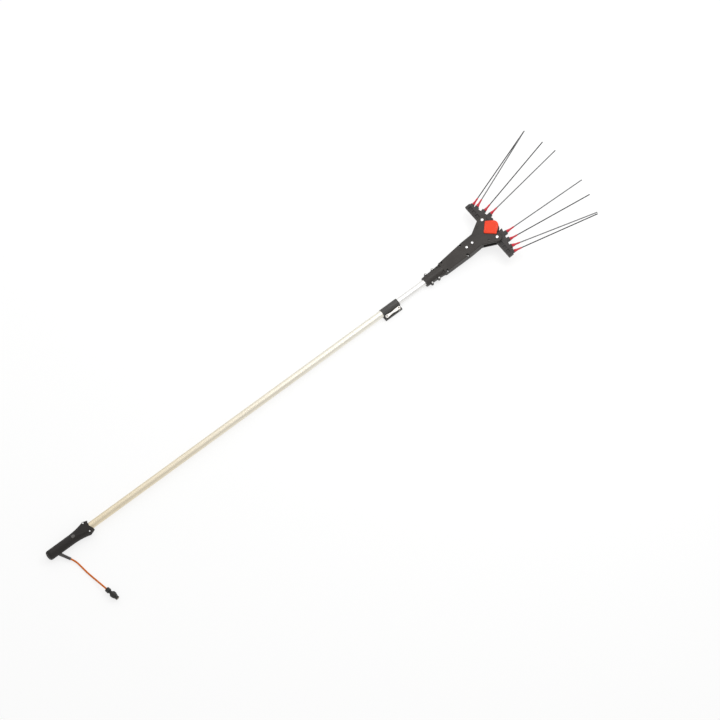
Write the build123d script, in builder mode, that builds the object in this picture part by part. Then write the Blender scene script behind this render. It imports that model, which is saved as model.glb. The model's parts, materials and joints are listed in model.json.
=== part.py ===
"""Telescopic electric olive harvester: pole, handle, clamp, forked head with two swinging combs.

Millimetres. The pole lies along X with the head at +X, Y is to the left, Z is up and the floor is z = 0.
The origin is on the floor, under the middle of the whole length.
"""
import math
import os

from build123d import *

os.makedirs("parts", exist_ok=True)

# Fits shared by all pieces
SEAT_GAP = 0.05
RUN_GAP = 0.05
MOVE_GAP = 0.4

# Pole
POLE_HEIGHT = 19.5
OUTER_TUBE_D = 28.0
TUBE_WALL = 1.2
SLIDE_GAP = 0.3
OUTER_TUBE_SHOWN = 1380.0
INNER_TUBE_SHOWN = 129.0
TUBE_IN_HANDLE = 66.0
TUBE_IN_CLAMP = 38.0
TUBE_IN_NECK = 70.0
INNER_TUBE_BEHIND = 900.0
GUIDE_FLANGE = 8.0
GUIDE_SPIGOT = 22.0
GUIDE_RUN_GAP = 0.1
COIL_D = 12.0
LEAD_D = 7.0
LEAD_BEND_R = 40.0

# Handle
HANDLE_LENGTH = 206.0
GRIP_D = 38.4
GRIP_WALL = 3.2
FLARE_D = 58.6
FLARE_BACK = 23.0
FLARE_LENGTH = 75.0
FLARE_FRONT_D = 43.0
FLARE_DISH = 7.0
CAP_LENGTH = 10.0
CAP_ROUND = 8.8
CAP_SPIGOT = 6.0
CAP_DIMPLE_D = 14.0
CAP_DIMPLE_DEPTH = 1.6
HANDLE_SCREW_BACK = 25.0
HANDLE_SCREW_Y = 20.0
HANDLE_SCREW_SEAT = 14.0
HANDLE_SCREW_LENGTH = 26.0
SCREW_D = 4.0
SCREW_HEAD_D = 7.4
SCREW_HEAD_H = 2.4
RELIEF_D = 9.0

# Switch
BUTTON_BEHIND_TUBE = 22.0
BUTTON_LENGTH = 16.0
BUTTON_WIDTH = 12.5
BUTTON_TOP = 21.4
BUTTON_HEIGHT = 9.0
BUTTON_TRAVEL = 2.5
BUTTON_ROUND = 1.2
BOARD_DROP = 6.0
BOARD_T = 1.6
BOARD_BOOT_GAP = 1.0
SWITCH_LENGTH = 24.0
SWITCH_WIDTH = 17.0

# Supply cord, boot and plug; points run from the boot's tip to the plug, x from the handle's end
CORD_D = 7.0
CORD_ROUTE = [
    (63.0, -56.0, 8.0),
    (72.0, -72.5, 5.2),
    (75.0, -103.0, 4.1),
    (77.5, -139.0, 3.7),
    (82.5, -174.0, 5.0),
    (85.0, -206.0, 12.4),
    (89.5, -236.0, 12.8),
]
CORD_ARC_SHARE = 0.45
BOOT_LENGTH = 48.0
BOOT_ROOT_D = 13.0
BOOT_TIP_D = 11.4
BOOT_ROOT_LENGTH = 10.0
BOOT_GROOVES = 6
BOOT_PLAIN_PITCHES = 2
BOOT_GROOVE_W = 2.0
BOOT_GROOVE_DEPTH = 0.8
PLUG_COLLAR_D = 20.0
PLUG_COLLAR_L = 15.0
PLUG_WAIST_D = 13.5
PLUG_WAIST_L = 10.0
PLUG_KNOB_D = 25.0
PLUG_KNOB_L = 22.0
PLUG_TAPER = 9.0
PLUG_NOSE_D = 16.0
PLUG_NOSE_L = 10.0
PLUG_EDGE = 3.0
PLUG_SEAT = 1.0
CONTACT_D = 3.6
CONTACT_SPACING = 7.0
CONTACT_DEPTH = 14.0

# Clamp
CLAMP_LENGTH = 77.0
CLAMP_WALL = 1.6
CLAMP_FOOT_LEFT = 8.0
CLAMP_FOOT_RIGHT = 28.0
CLAMP_FOOT_TOP = -9.0
LEVER_PIN_X = 12.0
LEVER_PIN_Y = 22.0
LEVER_PIN_D = 5.0
LEVER_PIN_PROUD = 1.0
LEVER_WIDTH = 11.4
LEVER_TOP = 6.0
LEVER_REACH = 56.0
LEVER_HOLE_D = 6.6
LUG_T = 5.6
LUG_D = 11.0
PAD_D = 8.0
PAD_X = 26.0

# Head: neck along the pole, then the body pitched up about the bend
HEAD_PITCH = 10.0
NECK_LENGTH = 85.0
NECK_D = 37.0
NECK_BLEND = 12.0
NECK_SCREW_X = (21.0, 53.0)
NECK_EAR_Y = 21.5
NECK_EAR_D = 10.0
NECK_EAR_T = 16.0
SHOULDER_LENGTH = 24.0
SHOULDER_INSET = 1.0
HEAD_REACH = 234.0
HEAD_HALF_T = 18.5
HEAD_BACK_W = 46.0
HEAD_MID_BACK = 115.0
HEAD_MID_W = 59.0
HEAD_FRONT_BACK = 62.0
HEAD_FRONT_W = 58.0
HEAD_ROUND = 3.0
ARM_ROOT_BACK = 59.0
ARM_ROOT_Y = 12.0
ARM_W = 36.0
PIVOT_Y = 44.7
FORK_GAP = 21.0
FORK_DEPTH = 58.0
CAVITY_END_GAP = 6.0
CAVITY_HALF_W = 18.0
CAVITY_WALL = 2.6
REAR_SCREW_U = 12.0
REAR_SCREW_Y = 19.0
FRONT_SCREW_BACK = 127.0
FRONT_SCREW_Y = 23.2
SHELL_RELIEF_D = 8.0
SHELL_SCREW_SEAT = 2.5
SHELL_SCREW_LENGTH = 20.0
ARM_SCREW_BACK = 32.0
ARM_SCREW_Y = 33.7
ARM_SCREW_SINK = 3.2
ARM_SCREW_LENGTH = 4.6
CENTRE_BOLT_BACK = (112.0, 85.0)
CENTRE_BOLT_D = 6.0
CENTRE_HEAD_D = 10.0
CENTRE_HEAD_H = 3.0

# Red cover on the fork
COVER_SIDE = 48.0
COVER_BACK = -29.0
COVER_NOSE = 12.0
COVER_T = 5.5
COVER_FRONT_R = 20.0
COVER_CORNER_R = 4.0
COVER_BEVEL = 2.0
COVER_PANEL = 6.0
COVER_PANEL_H = 1.4
COVER_LEDGE = 1.0

# Comb pivots
PIVOT_BOLT_D = 10.0
PIVOT_HEAD_D = 11.8
PIVOT_HEAD_H = 3.2
PIVOT_NUT_ACROSS = 16.0
PIVOT_NUT_H = 6.0
BUSH_WALL = 3.0
WASHER_D = 22.0

# Combs: outline and sockets are measured from the pivot line, y outwards
BAR_T = 19.0
BAR_BACK = -15.0
BAR_INNER_Y = 26.0
BAR_OUTER_Y = 131.0
BAR_FRONT_INNER = 36.0
BAR_FRONT_OUTER = 6.0
BAR_EDGE = 1.2
BAR_POCKET_DEPTH = 3.0
BAR_POCKET_L = 15.0
BAR_POCKET_W = 12.0
BAR_POCKETS = (72.0, 92.0, 112.0)
SOCKET_W = 13.5
SOCKET_BACK = 24.0
SOCKET_U = (42.0, 33.0, 22.0, 15.0)
SOCKET_Y = (47.5, 75.0, 103.5, 122.0)
SOCKET_SPLAY = (5.2, 10.9, 19.3, 16.5)
TINE_STAGGER = 4.5
TINE_D = 4.0
TINE_LENGTH = 342.0
TINE_SEAT = 10.0
HOLDER_SHANK_D = 8.0
HOLDER_SHANK_L = 16.0
HOLDER_COLLAR_D = 12.0
HOLDER_COLLAR_L = 4.0
HOLDER_CONE_L = 28.0
HOLDER_WAIST_D = 7.2
HOLDER_WAIST_AT = 10.0
HOLDER_TIP_D = 5.6

# Drive inside the head
MOTOR_LENGTH = 57.0
MOTOR_GAP = 0.3
MOTOR_EDGE = 1.5
CARRIER_TO_CRANK = 54.0
CARRIER_WALL = 7.0
CARRIER_TOP_L = 58.0
CARRIER_BASE_L = 72.0
CRANK_BACK = 80.0
CRANK_RADIUS = 4.0
CRANK_PIN_D = 7.0
WHEEL_SIDE_GAP = 1.0
WHEEL_T = 4.0
WHEEL_JOURNAL_D = 10.0
PINION_D = 16.0
PINION_L = 21.0
PINION_SHAFT_D = 6.0
MESH_GAP = 0.3
TAIL_U = -4.0
TAIL_Y = 18.7
TAIL_W = 17.0
ROD_T = 4.8
ROD_W = 8.0
ROD_SMALL_D = 13.0
ROD_BIG_D = 16.0
ROD_PIN_D = 6.0

# Places along the pole, measured from the handle's end
clamp_from_end = HANDLE_LENGTH + OUTER_TUBE_SHOWN
neck_from_end = clamp_from_end + CLAMP_LENGTH + INNER_TUBE_SHOWN
bend_from_end = neck_from_end + NECK_LENGTH
pitch = math.radians(HEAD_PITCH)
sockets = list(zip(SOCKET_U, SOCKET_Y, SOCKET_SPLAY))


def stagger(index):
    """Height of a tine above the comb's middle: neighbours lie in two planes."""
    return TINE_STAGGER if index % 2 == 0 else -TINE_STAGGER


def tip_from_end(index):
    """How far the end of a tine reaches from the handle's end, along X."""
    socket_u, _, splay = sockets[index]
    along = math.cos(math.radians(splay))
    reach = (HEAD_REACH + socket_u + TINE_LENGTH * along) * math.cos(pitch)
    edge = TINE_D / 2 * math.sqrt(1 - (along * math.cos(pitch)) ** 2)
    return bend_from_end + reach - stagger(index) * math.sin(pitch) + edge


total_length = max(tip_from_end(index) for index in range(len(sockets)))
handle_end = -total_length / 2
handle_front = handle_end + HANDLE_LENGTH
clamp_back = handle_end + clamp_from_end
clamp_front = clamp_back + CLAMP_LENGTH
neck_back = handle_end + neck_from_end
bend_x = handle_end + bend_from_end

outer_r = OUTER_TUBE_D / 2
outer_bore_r = outer_r - TUBE_WALL
inner_r = outer_bore_r - SLIDE_GAP
inner_bore_r = inner_r - TUBE_WALL
grip_r = GRIP_D / 2
grip_cavity_r = grip_r - GRIP_WALL
cavity_half_t = HEAD_HALF_T - CAVITY_WALL
pivot_r = PIVOT_BOLT_D / 2
tail_slot = 2 * ROD_T + 3 * MOVE_GAP
flare_at = HANDLE_LENGTH - FLARE_BACK
grip_straight = flare_at - FLARE_LENGTH
handle_screw_x = HANDLE_LENGTH - HANDLE_SCREW_BACK
button_x = HANDLE_LENGTH - TUBE_IN_HANDLE - BUTTON_BEHIND_TUBE
crank_u = HEAD_REACH - CRANK_BACK
carrier_back = crank_u - CARRIER_TO_CRANK
motor_back = carrier_back - MOTOR_LENGTH
cavity_back = motor_back - CAVITY_END_GAP
head_mid = HEAD_REACH - HEAD_MID_BACK
head_front = HEAD_REACH - HEAD_FRONT_BACK
arm_root = HEAD_REACH - ARM_ROOT_BACK
fork_back = HEAD_REACH - FORK_DEPTH
arm_screw_seat = HEAD_HALF_T - ARM_SCREW_SINK
arm_screw_places = [(HEAD_REACH - ARM_SCREW_BACK, side * ARM_SCREW_Y) for side in (1, -1)]
shell_screw_rows = ((REAR_SCREW_U, REAR_SCREW_Y), (HEAD_REACH - FRONT_SCREW_BACK, FRONT_SCREW_Y))
centre_bolt_places = [(HEAD_REACH - back, 0) for back in CENTRE_BOLT_BACK]

head_plane = Plane(
    origin=(bend_x, 0, POLE_HEIGHT),
    x_dir=(math.cos(pitch), 0, math.sin(pitch)),
    z_dir=(-math.sin(pitch), 0, math.cos(pitch)),
)
head_side = Plane(origin=head_plane.origin, x_dir=head_plane.x_dir, z_dir=(0, -1, 0))
pole_side = Plane(origin=(handle_end, 0, POLE_HEIGHT), x_dir=(1, 0, 0), z_dir=(0, -1, 0))


def pole_plane(x):
    """Plane square to the pole at x: local X points left and local Y points up."""
    return Plane(origin=(x, 0, POLE_HEIGHT), x_dir=(0, 1, 0), z_dir=(1, 0, 0))


def pole_level(height):
    """Level plane above the pole's axis, measured from the handle's end."""
    return Plane(origin=(handle_end, 0, POLE_HEIGHT + height))


def head_level(height):
    """Plane along the head at a height above its middle, measured from the bend."""
    return head_plane.offset(height)


def lathe_plane(origin, direction):
    """Plane whose local X runs along an axis, for an outline of distance and radius."""
    along = Vector(direction).normalized()
    return Plane(origin=origin, x_dir=along, z_dir=along.cross(Vector(0, 0, 1)).normalized())


def lathe_face(plane, outline):
    """Closed outline of (distance, radius) points on a lathe plane."""
    with BuildSketch(plane) as face:
        with BuildLine():
            Polyline(*outline, close=True)
        make_face()
    return face.sketch


def lathe_axis(plane):
    """Turning axis of a lathe plane."""
    return Axis(plane.origin, plane.x_dir)


def save(piece, name):
    """Label a finished piece and write it as its own file."""
    piece.part.label = name
    export_step(piece.part, f"parts/{name}.step")


# Pole tubes
outer_tube_back = handle_front - TUBE_IN_HANDLE
outer_tube_front = clamp_back + TUBE_IN_CLAMP
inner_tube_back = clamp_front - INNER_TUBE_BEHIND
inner_tube_front = neck_back + TUBE_IN_NECK

with BuildPart() as outer_tube:
    with BuildSketch(pole_plane(outer_tube_back)):
        Circle(outer_r)
        Circle(outer_bore_r, mode=Mode.SUBTRACT)
    extrude(amount=outer_tube_front - outer_tube_back)
save(outer_tube, "outer_tube")

with BuildPart() as inner_tube:
    with BuildSketch(pole_plane(inner_tube_back)):
        Circle(inner_r)
        Circle(inner_bore_r, mode=Mode.SUBTRACT)
    extrude(amount=inner_tube_front - inner_tube_back)
save(inner_tube, "inner_tube")

guide_back = inner_tube_back - GUIDE_FLANGE
guide_hole_r = COIL_D / 2 + SLIDE_GAP
with BuildPart() as tube_guide:
    with BuildSketch(pole_plane(guide_back)):
        Circle(outer_bore_r - GUIDE_RUN_GAP)
    extrude(amount=GUIDE_FLANGE)
    with BuildSketch(pole_plane(inner_tube_back)):
        Circle(inner_bore_r - SEAT_GAP)
    extrude(amount=GUIDE_SPIGOT)
    with BuildSketch(pole_plane(guide_back)):
        Circle(guide_hole_r)
    extrude(amount=GUIDE_FLANGE + GUIDE_SPIGOT, mode=Mode.SUBTRACT)
save(tube_guide, "tube_guide")

# Leads inside the pole: the curly one as its outer tube, then the plain one up to the motor
coil_front = inner_tube_back + GUIDE_SPIGOT
with BuildPart() as coiled_lead:
    with BuildSketch(pole_plane(outer_tube_back)):
        Circle(COIL_D / 2)
    extrude(amount=coil_front - outer_tube_back)
save(coiled_lead, "coiled_lead")

lead_back = coil_front + SLIDE_GAP
lead_end = head_plane.from_local_coords((motor_back, 0, 0))
with BuildPart() as head_lead:
    with BuildLine() as lead_path:
        FilletPolyline((lead_back, 0, POLE_HEIGHT), head_plane.origin, lead_end, radius=LEAD_BEND_R)
    with BuildSketch(pole_plane(lead_back)):
        Circle(LEAD_D / 2)
    sweep(path=lead_path.wires()[0])
save(head_lead, "head_lead")

# Handle: two halves of one turned body with flats on the flare
boot_tip = Vector(handle_end + CORD_ROUTE[0][0], CORD_ROUTE[0][1], CORD_ROUTE[0][2])
cord_second = Vector(handle_end + CORD_ROUTE[1][0], CORD_ROUTE[1][1], CORD_ROUTE[1][2])
boot_direction = (cord_second - boot_tip).normalized()
boot_root = boot_tip - boot_direction * BOOT_LENGTH
boot_plane = lathe_plane(boot_root, boot_direction)


def handle_blank():
    """Both handle halves in one piece, bored for the tube and hollow in the grip."""
    with BuildPart() as blank:
        with BuildSketch(pole_side):
            with BuildLine():
                Line((CAP_LENGTH, 0), (CAP_LENGTH, grip_r))
                Line((CAP_LENGTH, grip_r), (grip_straight, grip_r))
                TangentArc((grip_straight, grip_r), (flare_at, FLARE_D / 2), tangent=(1, 0))
                Line((flare_at, FLARE_D / 2), (HANDLE_LENGTH, FLARE_FRONT_D / 2))
                RadiusArc(
                    (HANDLE_LENGTH, FLARE_FRONT_D / 2),
                    (HANDLE_LENGTH - FLARE_DISH, outer_r),
                    FLARE_FRONT_D / 2,
                )
                Line((HANDLE_LENGTH - FLARE_DISH, outer_r), (HANDLE_LENGTH - FLARE_DISH, 0))
                Line((HANDLE_LENGTH - FLARE_DISH, 0), (CAP_LENGTH, 0))
            make_face()
        revolve(axis=Axis(pole_side.origin, pole_side.x_dir))
        with BuildSketch(pole_plane(handle_end)):
            Rectangle(2 * FLARE_D, 2 * POLE_HEIGHT)
        extrude(amount=2 * HANDLE_LENGTH, mode=Mode.INTERSECT)
        with BuildSketch(pole_plane(handle_end)):
            Circle(grip_cavity_r)
        extrude(amount=HANDLE_LENGTH - TUBE_IN_HANDLE, mode=Mode.SUBTRACT)
        with BuildSketch(pole_plane(handle_end)):
            Circle(outer_r + SEAT_GAP)
        extrude(amount=HANDLE_LENGTH, mode=Mode.SUBTRACT)
        with BuildSketch(Plane(boot_root - boot_direction * BOOT_ROOT_D, z_dir=boot_direction)):
            Circle(BOOT_ROOT_D / 2 + SEAT_GAP)
        extrude(amount=BOOT_LENGTH, mode=Mode.SUBTRACT)
        with BuildSketch(pole_level(-POLE_HEIGHT)):
            with Locations((handle_screw_x, HANDLE_SCREW_Y), (handle_screw_x, -HANDLE_SCREW_Y)):
                Circle(SCREW_D / 2 + SEAT_GAP)
        extrude(amount=2 * POLE_HEIGHT, mode=Mode.SUBTRACT)
        with BuildSketch(pole_level(HANDLE_SCREW_SEAT)):
            with Locations((handle_screw_x, HANDLE_SCREW_Y), (handle_screw_x, -HANDLE_SCREW_Y)):
                Circle(RELIEF_D / 2)
        extrude(amount=POLE_HEIGHT, mode=Mode.SUBTRACT)
    return blank.part


with BuildPart() as handle_top_shell:
    add(handle_blank())
    split(bisect_by=pole_level(0), keep=Keep.TOP)
    with BuildSketch(pole_level(0)):
        with Locations((button_x, 0)):
            SlotOverall(BUTTON_LENGTH + 2 * MOVE_GAP, BUTTON_WIDTH + 2 * MOVE_GAP)
    extrude(amount=FLARE_D, mode=Mode.SUBTRACT)
save(handle_top_shell, "handle_top_shell")

with BuildPart() as handle_bottom_shell:
    add(handle_blank())
    split(bisect_by=pole_level(0), keep=Keep.BOTTOM)
save(handle_bottom_shell, "handle_bottom_shell")

with BuildPart() as handle_end_cap:
    with BuildSketch(pole_plane(handle_end)):
        Circle(grip_r)
    extrude(amount=CAP_LENGTH)
    fillet(handle_end_cap.edges().group_by(Axis.X)[0], radius=CAP_ROUND)
    with BuildSketch(pole_plane(handle_end + CAP_LENGTH)):
        Circle(grip_cavity_r - SEAT_GAP)
    extrude(amount=CAP_SPIGOT)
    with BuildSketch(pole_plane(handle_end)):
        Circle(CAP_DIMPLE_D / 2)
    extrude(amount=CAP_DIMPLE_DEPTH, mode=Mode.SUBTRACT)
save(handle_end_cap, "handle_end_cap")

with BuildPart() as handle_screws:
    with BuildSketch(pole_level(HANDLE_SCREW_SEAT)):
        with Locations((handle_screw_x, HANDLE_SCREW_Y), (handle_screw_x, -HANDLE_SCREW_Y)):
            Circle(SCREW_HEAD_D / 2)
    extrude(amount=SCREW_HEAD_H)
    with BuildSketch(pole_level(HANDLE_SCREW_SEAT)):
        with Locations((handle_screw_x, HANDLE_SCREW_Y), (handle_screw_x, -HANDLE_SCREW_Y)):
            Circle(SCREW_D / 2)
    extrude(amount=-HANDLE_SCREW_LENGTH)
save(handle_screws, "handle_screws")

# Switch: board across the cavity, housing on the board, button above it
board_half_w = math.sqrt(grip_cavity_r ** 2 - BOARD_DROP ** 2) - SLIDE_GAP
board_back = CORD_ROUTE[0][0] + BOARD_BOOT_GAP
board_front = HANDLE_LENGTH - TUBE_IN_HANDLE - CAP_SPIGOT
with BuildPart() as control_board:
    with BuildSketch(pole_level(-BOARD_DROP)):
        with Locations(((board_back + board_front) / 2, 0)):
            Rectangle(board_front - board_back, 2 * board_half_w)
    extrude(amount=BOARD_T)
save(control_board, "control_board")

button_bottom = BUTTON_TOP - BUTTON_HEIGHT
switch_top = button_bottom - BUTTON_TRAVEL - MOVE_GAP
with BuildPart() as switch_housing:
    with BuildSketch(pole_level(BOARD_T - BOARD_DROP)):
        with Locations((button_x, 0)):
            Rectangle(SWITCH_LENGTH, SWITCH_WIDTH)
    extrude(amount=switch_top + BOARD_DROP - BOARD_T)
save(switch_housing, "switch_housing")

with BuildPart() as button:
    with BuildSketch(pole_level(button_bottom)):
        with Locations((button_x, 0)):
            SlotOverall(BUTTON_LENGTH, BUTTON_WIDTH)
    extrude(amount=BUTTON_HEIGHT)
    fillet(button.edges().group_by(Axis.Z)[-1], radius=BUTTON_ROUND)
save(button, "button")

# Strain-relief boot with grooves near its tip
boot_slope = (BOOT_TIP_D - BOOT_ROOT_D) / 2 / (BOOT_LENGTH - BOOT_ROOT_LENGTH)


def boot_radius(distance):
    """Radius of the boot at a distance from its root."""
    return BOOT_ROOT_D / 2 + max(0, distance - BOOT_ROOT_LENGTH) * boot_slope


groove_pitch = (BOOT_LENGTH - BOOT_ROOT_LENGTH) / (BOOT_GROOVES + BOOT_PLAIN_PITCHES)
boot_outline = [(0, 0), (0, boot_radius(0)), (BOOT_ROOT_LENGTH, boot_radius(0))]
for groove in range(BOOT_GROOVES):
    start = BOOT_ROOT_LENGTH + (groove + BOOT_PLAIN_PITCHES) * groove_pitch - BOOT_GROOVE_W
    stop = start + BOOT_GROOVE_W
    boot_outline.append((start, boot_radius(start)))
    boot_outline.append((start, boot_radius(start) - BOOT_GROOVE_DEPTH))
    boot_outline.append((stop, boot_radius(stop) - BOOT_GROOVE_DEPTH))
    boot_outline.append((stop, boot_radius(stop)))
boot_outline.append((BOOT_LENGTH, BOOT_TIP_D / 2))
boot_outline.append((BOOT_LENGTH, 0))
with BuildPart() as cord_boot:
    revolve(lathe_face(boot_plane, boot_outline), axis=lathe_axis(boot_plane))
save(cord_boot, "cord_boot")

# Supply cord from the boot's tip to the plug
cord_points = [Vector(handle_end + x, y, z) for x, y, z in CORD_ROUTE]
cord_runs = [end - start for start, end in zip(cord_points, cord_points[1:])]
cord_radii = []
for before, after in zip(cord_runs, cord_runs[1:]):
    half_turn = math.radians(before.get_angle(after)) / 2
    cord_radii.append(CORD_ARC_SHARE * min(before.length, after.length) / math.tan(half_turn))
print("cord radii", [round(radius, 1) for radius in cord_radii])

with BuildPart() as supply_cord:
    with BuildLine() as cord_path:
        FilletPolyline(*cord_points, radius=cord_radii)
    with BuildSketch(Plane(cord_points[0], z_dir=cord_runs[0])):
        Circle(CORD_D / 2)
    sweep(path=cord_path.wires()[0])
save(supply_cord, "supply_cord")
cord_length = cord_path.wires()[0].length
print("cord length", round(cord_length, 1))
print("cord volume ratio", round(supply_cord.part.volume / (math.pi * CORD_D ** 2 / 4 * cord_length), 4))

# Supply plug: collar, waist, knob and the nose that goes into its mate
plug_plane = lathe_plane(cord_points[-1], cord_runs[-1])
plug_waist_at = PLUG_COLLAR_L
plug_knob_at = PLUG_COLLAR_L + PLUG_WAIST_L
plug_nose_at = plug_knob_at + PLUG_KNOB_L
plug_length = plug_nose_at + PLUG_NOSE_L
plug_outline = [
    (0, 0),
    (0, PLUG_COLLAR_D / 2 - PLUG_EDGE / 2),
    (PLUG_EDGE / 2, PLUG_COLLAR_D / 2),
    (plug_waist_at, PLUG_COLLAR_D / 2),
    (plug_waist_at, PLUG_WAIST_D / 2),
    (plug_knob_at - PLUG_EDGE, PLUG_WAIST_D / 2),
    (plug_knob_at + PLUG_EDGE, PLUG_KNOB_D / 2),
    (plug_nose_at - PLUG_TAPER, PLUG_KNOB_D / 2),
    (plug_nose_at, PLUG_NOSE_D / 2 + PLUG_SEAT),
    (plug_nose_at, PLUG_NOSE_D / 2),
    (plug_length, PLUG_NOSE_D / 2),
    (plug_length, 0),
]
plug_face_plane = Plane(
    plug_plane.origin + plug_plane.x_dir * plug_length, x_dir=plug_plane.z_dir, z_dir=plug_plane.x_dir
)
with BuildPart() as plug_body:
    revolve(lathe_face(plug_plane, plug_outline), axis=lathe_axis(plug_plane))
    with BuildSketch(plug_face_plane):
        with GridLocations(CONTACT_SPACING, 0, 2, 1):
            Circle(CONTACT_D / 2 + SEAT_GAP)
    extrude(amount=-CONTACT_DEPTH, mode=Mode.SUBTRACT)
save(plug_body, "plug_body")

with BuildPart() as plug_contacts:
    with BuildSketch(plug_face_plane):
        with GridLocations(CONTACT_SPACING, 0, 2, 1):
            Circle(CONTACT_D / 2)
    extrude(amount=-CONTACT_DEPTH)
save(plug_contacts, "plug_contacts")

# Clamp collar: sleeve over the tube's end, flat foot, lug for the lever
clamp_r = outer_r + CLAMP_WALL
lever_pin_x = clamp_front - handle_end - LEVER_PIN_X
lever_bottom = CLAMP_FOOT_TOP + MOVE_GAP
lug_bottom = (lever_bottom + LEVER_TOP - LUG_T) / 2
foot_h = POLE_HEIGHT + CLAMP_FOOT_TOP
with BuildPart() as clamp_collar:
    with BuildSketch(pole_plane(clamp_back)):
        Circle(clamp_r)
        Rectangle(CLAMP_FOOT_LEFT, POLE_HEIGHT, align=(Align.MIN, Align.MAX))
        with Locations((0, CLAMP_FOOT_TOP)):
            Rectangle(CLAMP_FOOT_RIGHT, foot_h, align=(Align.MAX, Align.MAX))
    extrude(amount=CLAMP_LENGTH)
    with BuildSketch(pole_level(lug_bottom)):
        with Locations((lever_pin_x, -LEVER_PIN_Y)):
            Circle(LUG_D / 2)
            Rectangle(LUG_D, LEVER_PIN_Y, align=(Align.CENTER, Align.MIN))
    extrude(amount=LUG_T)
    with BuildSketch(pole_plane(clamp_back)):
        Circle(outer_r + SEAT_GAP)
    extrude(amount=TUBE_IN_CLAMP, mode=Mode.SUBTRACT)
    with BuildSketch(pole_plane(clamp_back)):
        Circle(inner_r + SLIDE_GAP)
    extrude(amount=CLAMP_LENGTH, mode=Mode.SUBTRACT)
    with BuildSketch(pole_level(lug_bottom)):
        with Locations((lever_pin_x, -LEVER_PIN_Y)):
            Circle(LEVER_PIN_D / 2 + SEAT_GAP)
    extrude(amount=LUG_T, mode=Mode.SUBTRACT)
    with BuildSketch(Plane(origin=(clamp_front - PAD_X, 0, POLE_HEIGHT), z_dir=(0, -1, 0))):
        Circle(PAD_D / 2 + SEAT_GAP)
    extrude(amount=clamp_r, mode=Mode.SUBTRACT)
save(clamp_collar, "clamp_collar")

with BuildPart() as clamp_pad:
    with BuildSketch(Plane(origin=(clamp_front - PAD_X, 0, POLE_HEIGHT), z_dir=(0, -1, 0))):
        Circle(PAD_D / 2)
    extrude(amount=clamp_r)
    with BuildSketch(pole_plane(clamp_back)):
        Circle(inner_r + SLIDE_GAP)
    extrude(amount=CLAMP_LENGTH, mode=Mode.SUBTRACT)
save(clamp_pad, "clamp_pad")

with BuildPart() as clamp_lever_pin:
    with BuildSketch(pole_level(lever_bottom)):
        with Locations((lever_pin_x, -LEVER_PIN_Y)):
            Circle(LEVER_PIN_D / 2)
    extrude(amount=LEVER_TOP - lever_bottom + LEVER_PIN_PROUD)
save(clamp_lever_pin, "clamp_lever_pin")

# Clamp lever: forked over the lug, closed along the collar
with BuildPart() as clamp_lever:
    with BuildSketch(pole_level(lever_bottom)):
        with Locations((lever_pin_x - LEVER_REACH / 2, -LEVER_PIN_Y)):
            SlotCenterToCenter(LEVER_REACH, LEVER_WIDTH)
        with Locations((lever_pin_x - LEVER_REACH, -LEVER_PIN_Y)):
            Circle(LEVER_HOLE_D / 2, mode=Mode.SUBTRACT)
        with Locations((lever_pin_x, -LEVER_PIN_Y)):
            Circle(LEVER_PIN_D / 2 + RUN_GAP, mode=Mode.SUBTRACT)
    extrude(amount=LEVER_TOP - lever_bottom)
    with BuildSketch(pole_level(lug_bottom - MOVE_GAP)):
        with Locations((lever_pin_x - LUG_D / 2 - MOVE_GAP, -LEVER_PIN_Y)):
            Rectangle(LEVER_REACH, 2 * LEVER_WIDTH, align=(Align.MIN, Align.CENTER))
    extrude(amount=LUG_T + 2 * MOVE_GAP, mode=Mode.SUBTRACT)
save(clamp_lever, "clamp_lever")


# Head shells: one moulded body with neck, fork arms and nose, split along its middle
def cover_face(height, inset):
    """Outline of the red cover, a kite with a round front, drawn in by an inset."""
    half = COVER_SIDE / math.sqrt(2)
    back = HEAD_REACH + COVER_BACK
    with BuildSketch(head_level(height)) as face:
        with BuildLine():
            Polyline(
                (back, 0),
                (back + half, -half),
                (back + 2 * half + COVER_NOSE, 0),
                (back + half, half),
                close=True,
            )
        make_face()
        corners = face.vertices().sort_by(Axis.X)
        fillet(corners[-1], radius=COVER_FRONT_R)
        fillet(face.vertices().sort_by(Axis.X)[:1] + face.vertices().sort_by(Axis.Y)[:1]
               + face.vertices().sort_by(Axis.Y)[-1:], radius=COVER_CORNER_R)
        if inset:
            offset(amount=-inset, mode=Mode.REPLACE)
    return face.sketch


arm_angle = math.degrees(math.atan2(PIVOT_Y - ARM_ROOT_Y, HEAD_REACH - arm_root))
arm_length = math.hypot(PIVOT_Y - ARM_ROOT_Y, HEAD_REACH - arm_root)


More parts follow.
